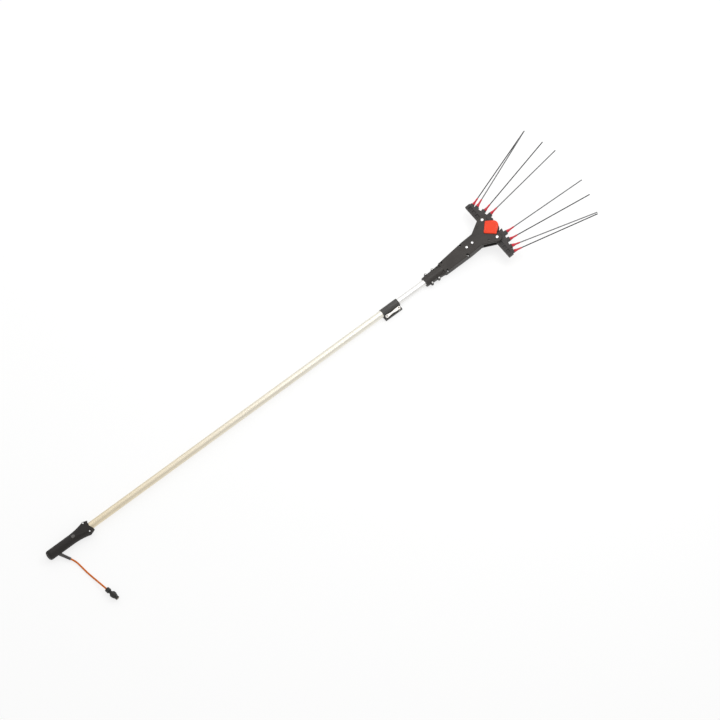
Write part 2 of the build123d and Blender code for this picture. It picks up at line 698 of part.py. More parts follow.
def head_blank():
    """Both head shells in one piece, hollow and slotted for the combs."""
    with BuildPart() as blank:
        with BuildSketch(head_level(-HEAD_HALF_T)):
            with BuildLine():
                Polyline(
                    (0, -HEAD_BACK_W / 2),
                    (head_mid, -HEAD_MID_W / 2),
                    (head_front, -HEAD_FRONT_W / 2),
                    (head_front, HEAD_FRONT_W / 2),
                    (head_mid, HEAD_MID_W / 2),
                    (0, HEAD_BACK_W / 2),
                    close=True,
                )
            make_face()
            for side in (1, -1):
                with Locations(((arm_root + HEAD_REACH) / 2, side * (ARM_ROOT_Y + PIVOT_Y) / 2)):
                    SlotCenterToCenter(arm_length, ARM_W, rotation=side * arm_angle)
            Polygon((arm_root, 0), (HEAD_REACH, -PIVOT_Y), (HEAD_REACH, PIVOT_Y), align=None)
            add(head_level(-HEAD_HALF_T).to_local_coords(cover_face(-HEAD_HALF_T, COVER_LEDGE)))
        extrude(amount=2 * HEAD_HALF_T)
        head_up = Axis(head_plane.origin, head_plane.z_dir)
        rims = blank.faces().sort_by(head_up)[-1].edges() + blank.faces().sort_by(head_up)[0].edges()
        fillet(rims, radius=HEAD_ROUND)
        with BuildSketch(pole_plane(neck_back)):
            Circle(NECK_D / 2)
        extrude(amount=NECK_LENGTH + NECK_BLEND)
        with BuildSketch(pole_level(-NECK_EAR_T / 2)):
            with BuildLine():
                Polyline(
                    (neck_from_end, SHOULDER_INSET - NECK_D / 2),
                    (bend_from_end + NECK_BLEND, SHOULDER_INSET - HEAD_BACK_W / 2),
                    (bend_from_end + NECK_BLEND, HEAD_BACK_W / 2 - SHOULDER_INSET),
                    (neck_from_end, NECK_D / 2 - SHOULDER_INSET),
                    close=True,
                )
            make_face()
            for place in NECK_SCREW_X:
                with Locations((neck_from_end + place, 0)):
                    SlotOverall(2 * NECK_EAR_Y + NECK_EAR_D, NECK_EAR_D, rotation=90)
        extrude(amount=NECK_EAR_T)
        with BuildSketch(pole_plane(bend_x - SHOULDER_LENGTH)):
            Rectangle(NECK_D - 2 * SHOULDER_INSET, NECK_EAR_T - 2 * SHOULDER_INSET)
        shoulder_front = head_plane.origin + head_plane.x_dir * SHOULDER_INSET
        with BuildSketch(Plane(shoulder_front, x_dir=(0, 1, 0), z_dir=head_plane.x_dir)):
            Rectangle(HEAD_BACK_W - 3 * SHOULDER_INSET, 2 * (HEAD_HALF_T - HEAD_ROUND - SHOULDER_INSET))
        loft()
        with BuildSketch(pole_plane(neck_back)):
            Circle(inner_r + SEAT_GAP)
        extrude(amount=TUBE_IN_NECK, mode=Mode.SUBTRACT)
        with BuildSketch(pole_plane(neck_back)):
            Circle(LEAD_D / 2 + SLIDE_GAP)
        extrude(amount=NECK_LENGTH + LEAD_D, mode=Mode.SUBTRACT)
        with BuildSketch(Plane(head_plane.origin - head_plane.x_dir * LEAD_D, z_dir=head_plane.x_dir)):
            Circle(LEAD_D / 2 + SLIDE_GAP)
        extrude(amount=cavity_back + LEAD_D, mode=Mode.SUBTRACT)
        with BuildSketch(head_level(-FORK_GAP / 2)):
            with Locations((fork_back, 0)):
                Rectangle(2 * HEAD_REACH, 4 * HEAD_REACH, align=(Align.MIN, Align.CENTER))
        extrude(amount=FORK_GAP, mode=Mode.SUBTRACT)
        with BuildSketch(head_level(-cavity_half_t)):
            with Locations((cavity_back, 0)):
                Rectangle(fork_back - cavity_back, 2 * CAVITY_HALF_W, align=(Align.MIN, Align.CENTER))
        extrude(amount=2 * cavity_half_t, mode=Mode.SUBTRACT)
        with BuildSketch(head_level(-HEAD_HALF_T)):
            for u, y in shell_screw_rows:
                with Locations((u, y), (u, -y)):
                    Circle(SCREW_D / 2 + SEAT_GAP)
            with Locations((HEAD_REACH, PIVOT_Y), (HEAD_REACH, -PIVOT_Y)):
                Circle(pivot_r + SEAT_GAP)
        extrude(amount=2 * HEAD_HALF_T, mode=Mode.SUBTRACT)
        with BuildSketch(head_level(SHELL_SCREW_SEAT)):
            for u, y in shell_screw_rows:
                with Locations((u, y), (u, -y)):
                    Circle(SHELL_RELIEF_D / 2)
                with Locations((u, y + SHELL_RELIEF_D), (u, -y - SHELL_RELIEF_D)):
                    Rectangle(SHELL_RELIEF_D, 2 * SHELL_RELIEF_D)
        extrude(amount=HEAD_HALF_T, mode=Mode.SUBTRACT)
        with BuildSketch(head_level(0)):
            with Locations(*centre_bolt_places):
                Circle(CENTRE_BOLT_D / 2 + SEAT_GAP)
        extrude(amount=HEAD_HALF_T, mode=Mode.SUBTRACT)
        with BuildSketch(head_level(arm_screw_seat)):
            with Locations(*arm_screw_places):
                Circle(SHELL_RELIEF_D / 2)
        extrude(amount=ARM_SCREW_SINK, mode=Mode.SUBTRACT)
        with BuildSketch(head_level(arm_screw_seat)):
            with Locations(*arm_screw_places):
                Circle(SCREW_D / 2 + SEAT_GAP)
        extrude(amount=-ARM_SCREW_LENGTH, mode=Mode.SUBTRACT)
        with BuildSketch(pole_level(-NECK_EAR_T)):
            for place in NECK_SCREW_X:
                for side in (1, -1):
                    with Locations((neck_from_end + place, side * NECK_EAR_Y)):
                        Circle(SCREW_D / 2 + SEAT_GAP)
        extrude(amount=2 * NECK_EAR_T, mode=Mode.SUBTRACT)
    return blank.part


def lower_half():
    """Everything below the parting line, which follows the pole and then the head."""
    far = head_plane.from_local_coords((2 * HEAD_REACH, 0, 0))
    with BuildSketch(Plane.XZ) as face:
        with BuildLine():
            Polyline(
                (neck_back - NECK_LENGTH, POLE_HEIGHT),
                (bend_x, POLE_HEIGHT),
                (far.X, far.Z),
                (far.X, -HEAD_REACH),
                (neck_back - NECK_LENGTH, -HEAD_REACH),
                close=True,
            )
        make_face()
    return face.sketch


with BuildPart() as head_top_shell:
    add(head_blank())
    extrude(lower_half(), amount=HEAD_REACH, both=True, mode=Mode.SUBTRACT)
save(head_top_shell, "head_top_shell")

with BuildPart() as head_bottom_shell:
    add(head_blank())
    extrude(lower_half(), amount=HEAD_REACH, both=True, mode=Mode.INTERSECT)
save(head_bottom_shell, "head_bottom_shell")

with BuildPart() as head_cover:
    extrude(cover_face(HEAD_HALF_T, 0), amount=COVER_T)
    cover_up = Axis(head_plane.origin, head_plane.z_dir)
    chamfer(head_cover.faces().sort_by(cover_up)[-1].edges(), length=COVER_BEVEL)
    extrude(cover_face(HEAD_HALF_T + COVER_T, COVER_PANEL), amount=COVER_PANEL_H)
save(head_cover, "head_cover")

# Screws and bolts of the head
with BuildPart() as shell_screws:
    for u, y in shell_screw_rows:
        with BuildSketch(head_level(SHELL_SCREW_SEAT)):
            with Locations((u, y), (u, -y)):
                Circle(SCREW_HEAD_D / 2)
        extrude(amount=SCREW_HEAD_H)
        with BuildSketch(head_level(SHELL_SCREW_SEAT)):
            with Locations((u, y), (u, -y)):
                Circle(SCREW_D / 2)
        extrude(amount=-SHELL_SCREW_LENGTH)
    with BuildSketch(head_level(arm_screw_seat)):
        with Locations(*arm_screw_places):
            Circle(SCREW_HEAD_D / 2)
    extrude(amount=SCREW_HEAD_H)
    with BuildSketch(head_level(arm_screw_seat)):
        with Locations(*arm_screw_places):
            Circle(SCREW_D / 2)
    extrude(amount=-ARM_SCREW_LENGTH)
save(shell_screws, "shell_screws")

neck_screw_places = [(neck_from_end + x, side * NECK_EAR_Y) for x in NECK_SCREW_X for side in (1, -1)]
with BuildPart() as neck_screws:
    with BuildSketch(pole_level(NECK_EAR_T / 2)):
        with Locations(*neck_screw_places):
            Circle(SCREW_HEAD_D / 2)
    extrude(amount=SCREW_HEAD_H)
    with BuildSketch(pole_level(NECK_EAR_T / 2)):
        with Locations(*neck_screw_places):
            Circle(SCREW_D / 2)
    extrude(amount=-NECK_EAR_T)
save(neck_screws, "neck_screws")

carrier_top = cavity_half_t - SEAT_GAP
carrier_bore = PINION_D / 2 + MOVE_GAP
with BuildPart() as centre_bolts:
    with BuildSketch(head_level(HEAD_HALF_T)):
        with Locations(*centre_bolt_places):
            Circle(CENTRE_HEAD_D / 2)
    extrude(amount=CENTRE_HEAD_H)
    with BuildSketch(head_level(HEAD_HALF_T)):
        with Locations(*centre_bolt_places):
            Circle(CENTRE_BOLT_D / 2)
    extrude(amount=carrier_bore - HEAD_HALF_T)
save(centre_bolts, "centre_bolts")

pivot_places = [(HEAD_REACH, PIVOT_Y), (HEAD_REACH, -PIVOT_Y)]
with BuildPart() as comb_pivot_bolts:
    with BuildSketch(head_level(HEAD_HALF_T)):
        with Locations(*pivot_places):
            Circle(PIVOT_HEAD_D / 2)
    extrude(amount=PIVOT_HEAD_H)
    with BuildSketch(head_level(HEAD_HALF_T)):
        with Locations(*pivot_places):
            Circle(pivot_r)
    extrude(amount=-2 * HEAD_HALF_T - PIVOT_NUT_H)
save(comb_pivot_bolts, "comb_pivot_bolts")

with BuildPart() as pivot_nuts:
    with BuildSketch(head_level(-HEAD_HALF_T)):
        with Locations(*pivot_places):
            RegularPolygon(PIVOT_NUT_ACROSS / 2, 6, major_radius=False)
            Circle(pivot_r + SEAT_GAP, mode=Mode.SUBTRACT)
    extrude(amount=-PIVOT_NUT_H)
save(pivot_nuts, "pivot_nuts")

washer_t = (FORK_GAP - BAR_T) / 2 - SLIDE_GAP
with BuildPart() as thrust_washers:
    for level in (FORK_GAP / 2 - washer_t, -FORK_GAP / 2):
        with BuildSketch(head_level(level)):
            with Locations(*pivot_places):
                Circle(WASHER_D / 2)
                Circle(pivot_r + SEAT_GAP, mode=Mode.SUBTRACT)
        extrude(amount=washer_t)
save(thrust_washers, "thrust_washers")

# Motor and gear carrier in the cavity
motor_r = cavity_half_t - MOTOR_GAP
motor_plane = lathe_plane(lead_end, head_plane.x_dir)
with BuildPart() as motor:
    with BuildSketch(Plane(motor_plane.origin, z_dir=motor_plane.x_dir)):
        Circle(motor_r)
    extrude(amount=MOTOR_LENGTH)
    chamfer(motor.edges().filter_by(GeomType.CIRCLE), length=MOTOR_EDGE)
save(motor, "motor")

wheel_top = -PINION_D / 2 - MESH_GAP
carrier_base_top = wheel_top - WHEEL_T - SLIDE_GAP
with BuildPart() as gear_carrier:
    with BuildSketch(head_side):
        with BuildLine():
            Polyline(
                (carrier_back, -carrier_top),
                (carrier_back + CARRIER_BASE_L, -carrier_top),
                (carrier_back + CARRIER_BASE_L, carrier_base_top),
                (carrier_back + CARRIER_WALL, carrier_base_top),
                (carrier_back + CARRIER_WALL, carrier_bore),
                (carrier_back + CARRIER_TOP_L, carrier_bore),
                (carrier_back + CARRIER_TOP_L, carrier_top),
                (carrier_back, carrier_top),
                close=True,
            )
        make_face()
    extrude(amount=CAVITY_HALF_W - SLIDE_GAP, both=True)
    with BuildSketch(Plane(head_plane.origin, z_dir=head_plane.x_dir)):
        Circle(PINION_SHAFT_D / 2 + RUN_GAP)
    extrude(amount=carrier_back + CARRIER_WALL, mode=Mode.SUBTRACT)
    with BuildSketch(head_level(-HEAD_HALF_T)):
        with Locations((crank_u, 0)):
            Circle(WHEEL_JOURNAL_D / 2 + RUN_GAP)
    extrude(amount=HEAD_HALF_T, mode=Mode.SUBTRACT)
    with BuildSketch(head_level(0)):
        with Locations(*centre_bolt_places):
            Circle(CENTRE_BOLT_D / 2 + SEAT_GAP)
    extrude(amount=HEAD_HALF_T, mode=Mode.SUBTRACT)
save(gear_carrier, "gear_carrier")

# Drive pinion on the motor axis, shown as its pitch body
pinion_front = crank_u - ROD_BIG_D / 2 - CRANK_RADIUS - 3 * MOVE_GAP
pinion_plane = lathe_plane(head_plane.from_local_coords((carrier_back + SLIDE_GAP, 0, 0)), head_plane.x_dir)
pinion_reach = pinion_front - carrier_back - SLIDE_GAP
with BuildPart() as drive_pinion:
    pinion_outline = [
        (0, 0),
        (0, PINION_SHAFT_D / 2),
        (pinion_reach - PINION_L, PINION_SHAFT_D / 2),
        (pinion_reach - PINION_L, PINION_D / 2),
        (pinion_reach, PINION_D / 2),
        (pinion_reach, 0),
    ]
    revolve(lathe_face(pinion_plane, pinion_outline), axis=lathe_axis(pinion_plane))
save(drive_pinion, "drive_pinion")

# Crown wheel with its journal and the crank pin, which stops short of the rods
rod_bottom = -ROD_T - MOVE_GAP / 2
with BuildPart() as crown_wheel:
    with BuildSketch(head_level(wheel_top)):
        with Locations((crank_u, 0)):
            Circle(CAVITY_HALF_W - WHEEL_SIDE_GAP)
    extrude(amount=-WHEEL_T)
    with BuildSketch(head_level(-carrier_top)):
        with Locations((crank_u, 0)):
            Circle(WHEEL_JOURNAL_D / 2)
    extrude(amount=carrier_top + wheel_top)
    with BuildSketch(head_level(wheel_top)):
        with Locations((crank_u - CRANK_RADIUS, 0)):
            Circle(CRANK_PIN_D / 2)
    extrude(amount=rod_bottom - MOVE_GAP - wheel_top)
save(crown_wheel, "crown_wheel")


# Combs and rods, left then right
def connecting_rod(side):
    """Rod from a comb's tail to the crank pin: the left one lies above the right one."""
    tail = (HEAD_REACH + TAIL_U, side * TAIL_Y)
    crank = (crank_u - CRANK_RADIUS, 0)
    level = MOVE_GAP / 2 if side > 0 else rod_bottom
    angle = math.degrees(math.atan2(tail[1] - crank[1], tail[0] - crank[0]))
    with BuildPart() as rod:
        with BuildSketch(head_level(level)):
            with Locations(((tail[0] + crank[0]) / 2, (tail[1] + crank[1]) / 2)):
                SlotCenterToCenter(math.dist(tail, crank), ROD_W, rotation=angle)
            with Locations(tail):
                Circle(ROD_SMALL_D / 2)
            with Locations(crank):
                Circle(ROD_BIG_D / 2)
            with Locations(tail):
                Circle(ROD_PIN_D / 2 + RUN_GAP, mode=Mode.SUBTRACT)
            with Locations(crank):
                Circle(CRANK_PIN_D / 2 + RUN_GAP, mode=Mode.SUBTRACT)
        extrude(amount=ROD_T)
    return rod


def comb_bar(side):
    """Moulded bar with four sockets, a pivot bore and a forked tail for the rod."""
    with BuildPart() as bar:
        with BuildSketch(head_level(-BAR_T / 2)):
            with BuildLine():
                Polyline(
                    (HEAD_REACH + BAR_BACK, side * BAR_INNER_Y),
                    (HEAD_REACH + BAR_BACK, side * BAR_OUTER_Y),
                    (HEAD_REACH + BAR_FRONT_OUTER, side * BAR_OUTER_Y),
                    (HEAD_REACH + BAR_FRONT_INNER, side * BAR_INNER_Y),
                    close=True,
                )
            make_face()
            tail_turn = math.degrees(math.atan2(side * (PIVOT_Y - TAIL_Y), -TAIL_U))
            with Locations((HEAD_REACH + TAIL_U / 2, side * (PIVOT_Y + TAIL_Y) / 2)):
                SlotCenterToCenter(math.hypot(PIVOT_Y - TAIL_Y, TAIL_U), TAIL_W, rotation=tail_turn)
            for u, y, splay in sockets:
                with Locations(Location((HEAD_REACH + u, side * y, 0), side * splay)):
                    Rectangle(SOCKET_BACK, SOCKET_W, align=(Align.MAX, Align.CENTER))
        extrude(amount=BAR_T)
        bar_up = Axis(head_plane.origin, head_plane.z_dir)
        faces = bar.faces().sort_by(bar_up)
        chamfer(faces[0].edges() + faces[-1].edges(), length=BAR_EDGE)
        with BuildSketch(head_level(-tail_slot / 2)):
            with Locations((HEAD_REACH + TAIL_U, 0)):
                Rectangle(8 * TAIL_W, 2 * BAR_INNER_Y + 2 * MOVE_GAP)
        extrude(amount=tail_slot, mode=Mode.SUBTRACT)
        for level, depth in ((BAR_T / 2, -BAR_POCKET_DEPTH), (-BAR_T / 2, BAR_POCKET_DEPTH)):
            with BuildSketch(head_level(level)):
                for y in BAR_POCKETS:
                    with Locations((HEAD_REACH + BAR_BACK + BAR_POCKET_W, side * y)):
                        Rectangle(BAR_POCKET_W, BAR_POCKET_L)
            extrude(amount=depth, mode=Mode.SUBTRACT)
        with BuildSketch(head_level(-BAR_T / 2)):
            with Locations((HEAD_REACH, side * PIVOT_Y)):
                Circle(pivot_r + BUSH_WALL + SEAT_GAP)
            with Locations((HEAD_REACH + TAIL_U, side * TAIL_Y)):
                Circle(ROD_PIN_D / 2 + SEAT_GAP)
        extrude(amount=BAR_T, mode=Mode.SUBTRACT)
        for index in range(len(sockets)):
            plane = socket_plane(side, index)
            with BuildSketch(Plane(plane.origin, z_dir=plane.x_dir)):
                Circle(HOLDER_SHANK_D / 2 + SEAT_GAP)
            extrude(amount=-HOLDER_SHANK_L, mode=Mode.SUBTRACT)
    return bar


def socket_plane(side, index):
    """Lathe plane at a socket's mouth, along its tine."""
    u, y, splay = sockets[index]
    turn = math.radians(splay)
    mouth = head_plane.from_local_coords((HEAD_REACH + u, side * y, stagger(index)))
    along = head_plane.x_dir * math.cos(turn) + head_plane.y_dir * (side * math.sin(turn))
    return lathe_plane(mouth, along)


def tine_holders(side):
    """The four red holders of a comb, each a shank, a collar and a cone round its tine."""
    bore_r = TINE_D / 2 + SEAT_GAP
    outline = [
        (-HOLDER_SHANK_L, bore_r),
        (-HOLDER_SHANK_L, HOLDER_SHANK_D / 2),
        (0, HOLDER_SHANK_D / 2),
        (0, HOLDER_COLLAR_D / 2),
        (HOLDER_COLLAR_L, HOLDER_COLLAR_D / 2),
        (HOLDER_COLLAR_L + HOLDER_WAIST_AT, HOLDER_WAIST_D / 2),
        (HOLDER_COLLAR_L + HOLDER_CONE_L, HOLDER_TIP_D / 2),
        (HOLDER_COLLAR_L + HOLDER_CONE_L, bore_r),
    ]
    with BuildPart() as holders:
        for index in range(len(sockets)):
            plane = socket_plane(side, index)
            revolve(lathe_face(plane, outline), axis=lathe_axis(plane))
    return holders


def tine(side, index):
    """One carbon tine, seated inside its holder."""
    plane = socket_plane(side, index)
    with BuildPart() as rod:
        with BuildSketch(Plane(plane.origin - plane.x_dir * TINE_SEAT, z_dir=plane.x_dir)):
            Circle(TINE_D / 2)
        extrude(amount=TINE_SEAT + TINE_LENGTH)
    return rod


def bush(side):
    """Pivot bush pressed into a comb bar."""
    with BuildPart() as ring:
        with BuildSketch(head_level(-BAR_T / 2)):
            with Locations((HEAD_REACH, side * PIVOT_Y)):
                Circle(pivot_r + BUSH_WALL)
                Circle(pivot_r + RUN_GAP, mode=Mode.SUBTRACT)
        extrude(amount=BAR_T)
    return ring


def rod_pin(side):
    """Pin across the forked tail of a comb."""
    with BuildPart() as pin:
        with BuildSketch(head_level(-BAR_T / 2)):
            with Locations((HEAD_REACH + TAIL_U, side * TAIL_Y)):
                Circle(ROD_PIN_D / 2)
        extrude(amount=BAR_T)
    return pin


for hand, side in (("left", 1), ("right", -1)):
    save(connecting_rod(side), f"rod_{hand}")
    save(comb_bar(side), f"comb_bar_{hand}")
    save(bush(side), f"comb_bush_{hand}")
    save(rod_pin(side), f"rod_pin_{hand}")
    save(tine_holders(side), f"tine_holders_{hand}")
    for index in range(len(sockets)):
        save(tine(side, index), f"tine_{hand}_{index + 1}")

print("handle end x", round(handle_end, 3), "bend x", round(bend_x, 3), "total", round(total_length, 3))
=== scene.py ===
"""Dresses the telescopic olive harvester: finishes, fasteners, tines, leads and a pale studio.

Metres, in the same frame as the solids: the pole lies along X, Y is to the left and the floor is z = 0.
"""

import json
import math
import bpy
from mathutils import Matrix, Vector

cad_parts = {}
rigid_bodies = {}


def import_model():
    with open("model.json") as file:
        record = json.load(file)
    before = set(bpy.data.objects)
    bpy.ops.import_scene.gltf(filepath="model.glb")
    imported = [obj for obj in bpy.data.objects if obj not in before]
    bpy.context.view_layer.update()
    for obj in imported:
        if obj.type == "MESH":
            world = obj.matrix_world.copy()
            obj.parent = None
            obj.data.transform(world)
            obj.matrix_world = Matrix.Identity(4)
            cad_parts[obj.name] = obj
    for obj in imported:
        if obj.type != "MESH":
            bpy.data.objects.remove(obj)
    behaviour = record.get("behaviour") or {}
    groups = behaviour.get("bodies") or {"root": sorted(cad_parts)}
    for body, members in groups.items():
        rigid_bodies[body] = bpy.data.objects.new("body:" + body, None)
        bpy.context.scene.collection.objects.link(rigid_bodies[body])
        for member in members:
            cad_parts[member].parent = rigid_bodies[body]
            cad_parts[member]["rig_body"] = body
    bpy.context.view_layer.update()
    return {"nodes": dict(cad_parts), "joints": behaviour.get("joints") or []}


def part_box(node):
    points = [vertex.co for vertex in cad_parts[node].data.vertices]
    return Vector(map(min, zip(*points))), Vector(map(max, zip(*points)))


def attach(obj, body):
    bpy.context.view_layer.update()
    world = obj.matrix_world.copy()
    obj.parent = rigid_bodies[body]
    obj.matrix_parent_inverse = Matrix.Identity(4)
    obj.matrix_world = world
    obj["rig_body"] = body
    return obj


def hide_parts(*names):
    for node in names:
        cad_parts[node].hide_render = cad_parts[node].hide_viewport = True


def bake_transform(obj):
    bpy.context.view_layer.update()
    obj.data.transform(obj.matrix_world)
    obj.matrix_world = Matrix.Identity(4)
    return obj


bl_info = {
    "name": "Olive harvester",
    "version": (1, 0, 0),
    "blender": (4, 5, 0),
    "location": "3D View > Sidebar > Harvester",
    "description": "Finishes and fine pieces of a telescopic olive harvester",
    "category": "Object",
}

import bmesh
import bpy
from bpy.props import FloatProperty, FloatVectorProperty, IntProperty, PointerProperty
from mathutils import Matrix, Vector

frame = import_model()
nodes = frame["nodes"]
joint_of = {joint["name"]: joint for joint in frame["joints"]}

# Directions, those of the head read from the comb pivots
head_up = Vector(joint_of["comb_left_swing"]["axis"]).normalized()
head_ahead = Vector((head_up.z, 0, -head_up.x))
WORLD_UP = Vector((0, 0, 1))
TO_LEFT = Vector((0, 1, 0))

# How far the left side of the head's body runs outwards for each metre ahead
BODY_FLARE = 0.0546

# Supply lead: control points from the boot's tip to the plug, x from the handle's end
CORD_ROUTE = [
    (0.0630, -0.0560, 0.0080),
    (0.0720, -0.0725, 0.0052),
    (0.0750, -0.1030, 0.0041),
    (0.0775, -0.1390, 0.0037),
    (0.0825, -0.1740, 0.0050),
    (0.0850, -0.2060, 0.0124),
    (0.0895, -0.2360, 0.0128),
]

# Colours of pieces that hardly show
INNER_BLACK = (0.03, 0.03, 0.03)
LEAD_BLACK = (0.02, 0.02, 0.02)
CONTACT_BRASS = (0.72, 0.52, 0.22)
BUSH_BRASS = (0.72, 0.50, 0.22)
MOTOR_STEEL = (0.42, 0.42, 0.43)
CARRIER_ALLOY = (0.62, 0.62, 0.62)
GEAR_STEEL = (0.56, 0.55, 0.53)
BOARD_GREENS = {
    "Color1": (0.010, 0.120, 0.045),
    "Color2": (0.014, 0.150, 0.055),
    "Mortar": (0.030, 0.230, 0.085),
}
TINNED_PAD = (0.72, 0.70, 0.66)

# Angles between faces that count as one flat, that get a rounded edge and that are shaded smooth
FLAT_ANGLE = math.radians(0.4)
SHARP_ANGLE = math.radians(38)
LEVER_SHARP_ANGLE = math.radians(42)
SMOOTH_ANGLE = math.radians(30)
SCREW_SMOOTH_ANGLE = math.radians(32)
TINE_SMOOTH_ANGLE = math.radians(40)

# Distances within which points are copies, lie level, or are slivers that a cut leaves
COPY_REACH = 1e-6
LEVEL_REACH = 1e-5
SLIVER_REACH = 1.5e-4

# Digits to which heights and lengths are compared
LEVEL_DIGITS = 5

# Parts of a direction above which it runs along an axis, and below which it runs across it
ALONG = 0.9
ACROSS = 0.5

# Steps of a rounding
EDGE_STEPS = 2
LEVER_EDGE_STEPS = 3
TIP_STEPS = 4
DOME_STEPS = 5

# Screws, as shares of the head's radius or height or of the shank's radius
RIM_SHARE = 0.98
DOME_SHARE = 0.62
DOME_PROFILE = 0.6
POINT_SHARE = 0.35
HEXAGON_SHARE = 0.56
CROSS_LENGTH_SHARE = 1.25
CROSS_WIDTH_SHARE = 0.28

# Clamp lever: shares of its height, half its width and its length, and the shank's step where its waist is
SHANK_HEIGHT_SHARE = 0.42
SHANK_WIDTH_SHARE = 1.72
SLOT_SHARE = 4
SHANK_STEPS = 12
WAIST_STEP = 5
WAIST_SHARE = 0.6
WAIST_REACH_SHARE = 0.42

# Height of a cutter that goes right through
THROUGH = 1.0

# Tines on each comb
TINE_COUNT = 4

# Studio: side of the key light, soft boxes by place, target and width, and the floor's width
KEY_SIDE = (0.25, 0.72, 0.65)
KEY_BOX = ((0.7, 2.1, 2.7), (0.4, 0.0, 0.0), 4.2)
HEAD_BOX = ((1.35, -0.15, 2.1), (0.95, 0.0, 0.0), 1.2)
FLOOR_WIDTH = 40
WHITE = (1, 1, 1)


def colour_property(name, description, default):
    """A colour that a user can change."""
    return FloatVectorProperty(name=name, description=description, default=default, size=3, min=0, max=1,
                               subtype="COLOR")


def strength_property(name, description, default, **settings):
    """A number from 0 up that a user can change."""
    return FloatProperty(name=name, description=description, default=default, min=0, **settings)


def length_property(name, description, default):
    """A length that a user can change."""
    return strength_property(name, description, default, subtype="DISTANCE", unit="LENGTH", precision=4)


def angle_property(name, description, degrees):
    """An angle that a user can change."""
    return FloatProperty(name=name, description=description, default=math.radians(degrees), subtype="ANGLE")


def count_property(name, description, default, least):
    """A count that a user can change."""
    return IntProperty(name=name, description=description, default=default, min=least)


class HarvesterColours(bpy.types.PropertyGroup):
    """Colours of the finishes."""

    handle_black: colour_property("Handle", "Black of the handle mouldings", (0.0175, 0.0148, 0.0128))
    head_black: colour_property("Head", "Black of the head mouldings", (0.033, 0.0280, 0.0245))
    comb_black: colour_property("Combs", "Black of the comb bars", (0.034, 0.0298, 0.0285))
    clamp_black: colour_property("Clamp", "Black of the clamp collar", (0.064, 0.062, 0.057))
    cover_red: colour_property("Cover", "Red of the fork cover", (0.87, 0.060, 0.018))
    holder_red: colour_property("Tine holders", "Red of the tine holders", (0.61, 0.037, 0.056))
    champagne: colour_property("Outer tube", "Tone of the outer tube at the handle", (0.82, 0.725, 0.545))
    # Painted light: the outer tube's tone pales towards this one at the clamp, as if that end lay in
    # brighter light.
    champagne_painted_light: colour_property("Outer tube, far end", "Paler tone at the clamp", (0.90, 0.885, 0.82))
    silver: colour_property("Inner tube", "Tone of the inner tube", (0.91, 0.90, 0.88))
    bright_zinc: colour_property("Fasteners", "Plating of bolts, nuts and screws", (0.88, 0.88, 0.87))
    dull_zinc: colour_property("Neck screws", "Duller plating of the neck screws", (0.56, 0.555, 0.54))
    black_oxide: colour_property("Blackened steel", "Lever pin and fork screws", (0.10, 0.098, 0.095))
    cast_alloy: colour_property("Lever", "Tumbled casting of the clamp lever", (0.86, 0.83, 0.78))
    lead_orange: colour_property("Supply lead", "Sheath of the supply lead", (0.72, 0.170, 0.012))
    rubber_black: colour_property("Boot", "Rubber of the boot", (0.080, 0.074, 0.073))
    plug_black: colour_property("Plug", "Black of the plug", (0.029, 0.0285, 0.0255))
    button_grey: colour_property("Button", "Grey of the push button", (0.105, 0.100, 0.095))
    carbon: colour_property("Tines", "Dark carbon of the lower tines", (0.011, 0.011, 0.012))
    # Painted light: a lighter copy of the tines' carbon for the upper tines, which stand in more light than
    # the lower ones.
    carbon_lit: colour_property("Upper tines", "Greyer carbon of the upper tines", (0.105, 0.105, 0.107))


class HarvesterSizes(bpy.types.PropertyGroup):
    """Sizes of the fine pieces."""

    cord_diameter: length_property("Lead diameter", "Diameter of the supply lead", 0.007)
    curl_wire: length_property("Curl wire", "Diameter of the curly lead's wire", 0.0034)
    curl_pitch: length_property("Curl pitch", "Distance between turns of the curly lead", 0.0086)
    curl_steps: count_property("Curl steps", "Points in each turn of the curly lead", 12, 6)
    socket_depth: length_property("Recess depth", "Depth of the drive recess in a screw head", 0.0013)
    screw_sides: count_property("Screw sides", "Sides of a round screw head", 32, 12)
    tine_sides: count_property("Tine sides", "Sides of a tine", 20, 8)
    tine_tip: length_property("Tine tip", "Length of the rounded tip of a tine", 0.0012)
    mouth_radius: length_property("Mouth radius", "Radius of the scoop in the handle's mouth", 0.030)
    mouth_depth: length_property("Mouth depth", "Depth of that scoop at the tube", 0.0130)
    mouth_sides: count_property("Mouth sides", "Sides of that scoop's full round", 96, 24)
    lever_eye: length_property("Lever eye", "Radius of the hole in the clamp lever's eye", 0.0033)
    lever_bore: length_property("Lever bore", "Radius of the clamp lever's bore for its pin", 0.0026)
    lever_sides: count_property("Lever sides", "Sides of the clamp lever's rounds", 40, 12)
    fine_edge: length_property("Fine edges", "Rounding of the handle, cover and combs", 0.0005)
    head_edge: length_property("Head edges", "Rounding of the head shells", 0.0006)
    plug_edge: length_property("Plug edges", "Rounding of the plug", 0.0008)
    lever_edge: length_property("Lever edges", "Rounding of the clamp lever", 0.0008)
    clamp_edge: length_property("Clamp edges", "Rounding of the clamp collar", 0.0009)
    sill_reach: length_property("Sill reach", "Middle of a shell screw to the sill outside it", 0.0038)
    sill_height: length_property("Sill height", "Height of that sill above the screw's seat", 0.0120)
    sill_span: length_property("Sill span", "Length of that sill", 0.0096)
    sill_step: length_property("Sill step", "How far beside the screw that sill is taken from", 0.0100)
    sill_root: length_property("Sill root", "How far that sill runs into the shell below the seat", 0.0015)
    sill_sink: length_property("Sill sink", "How far that sill lies below the shell's face", 0.00002)


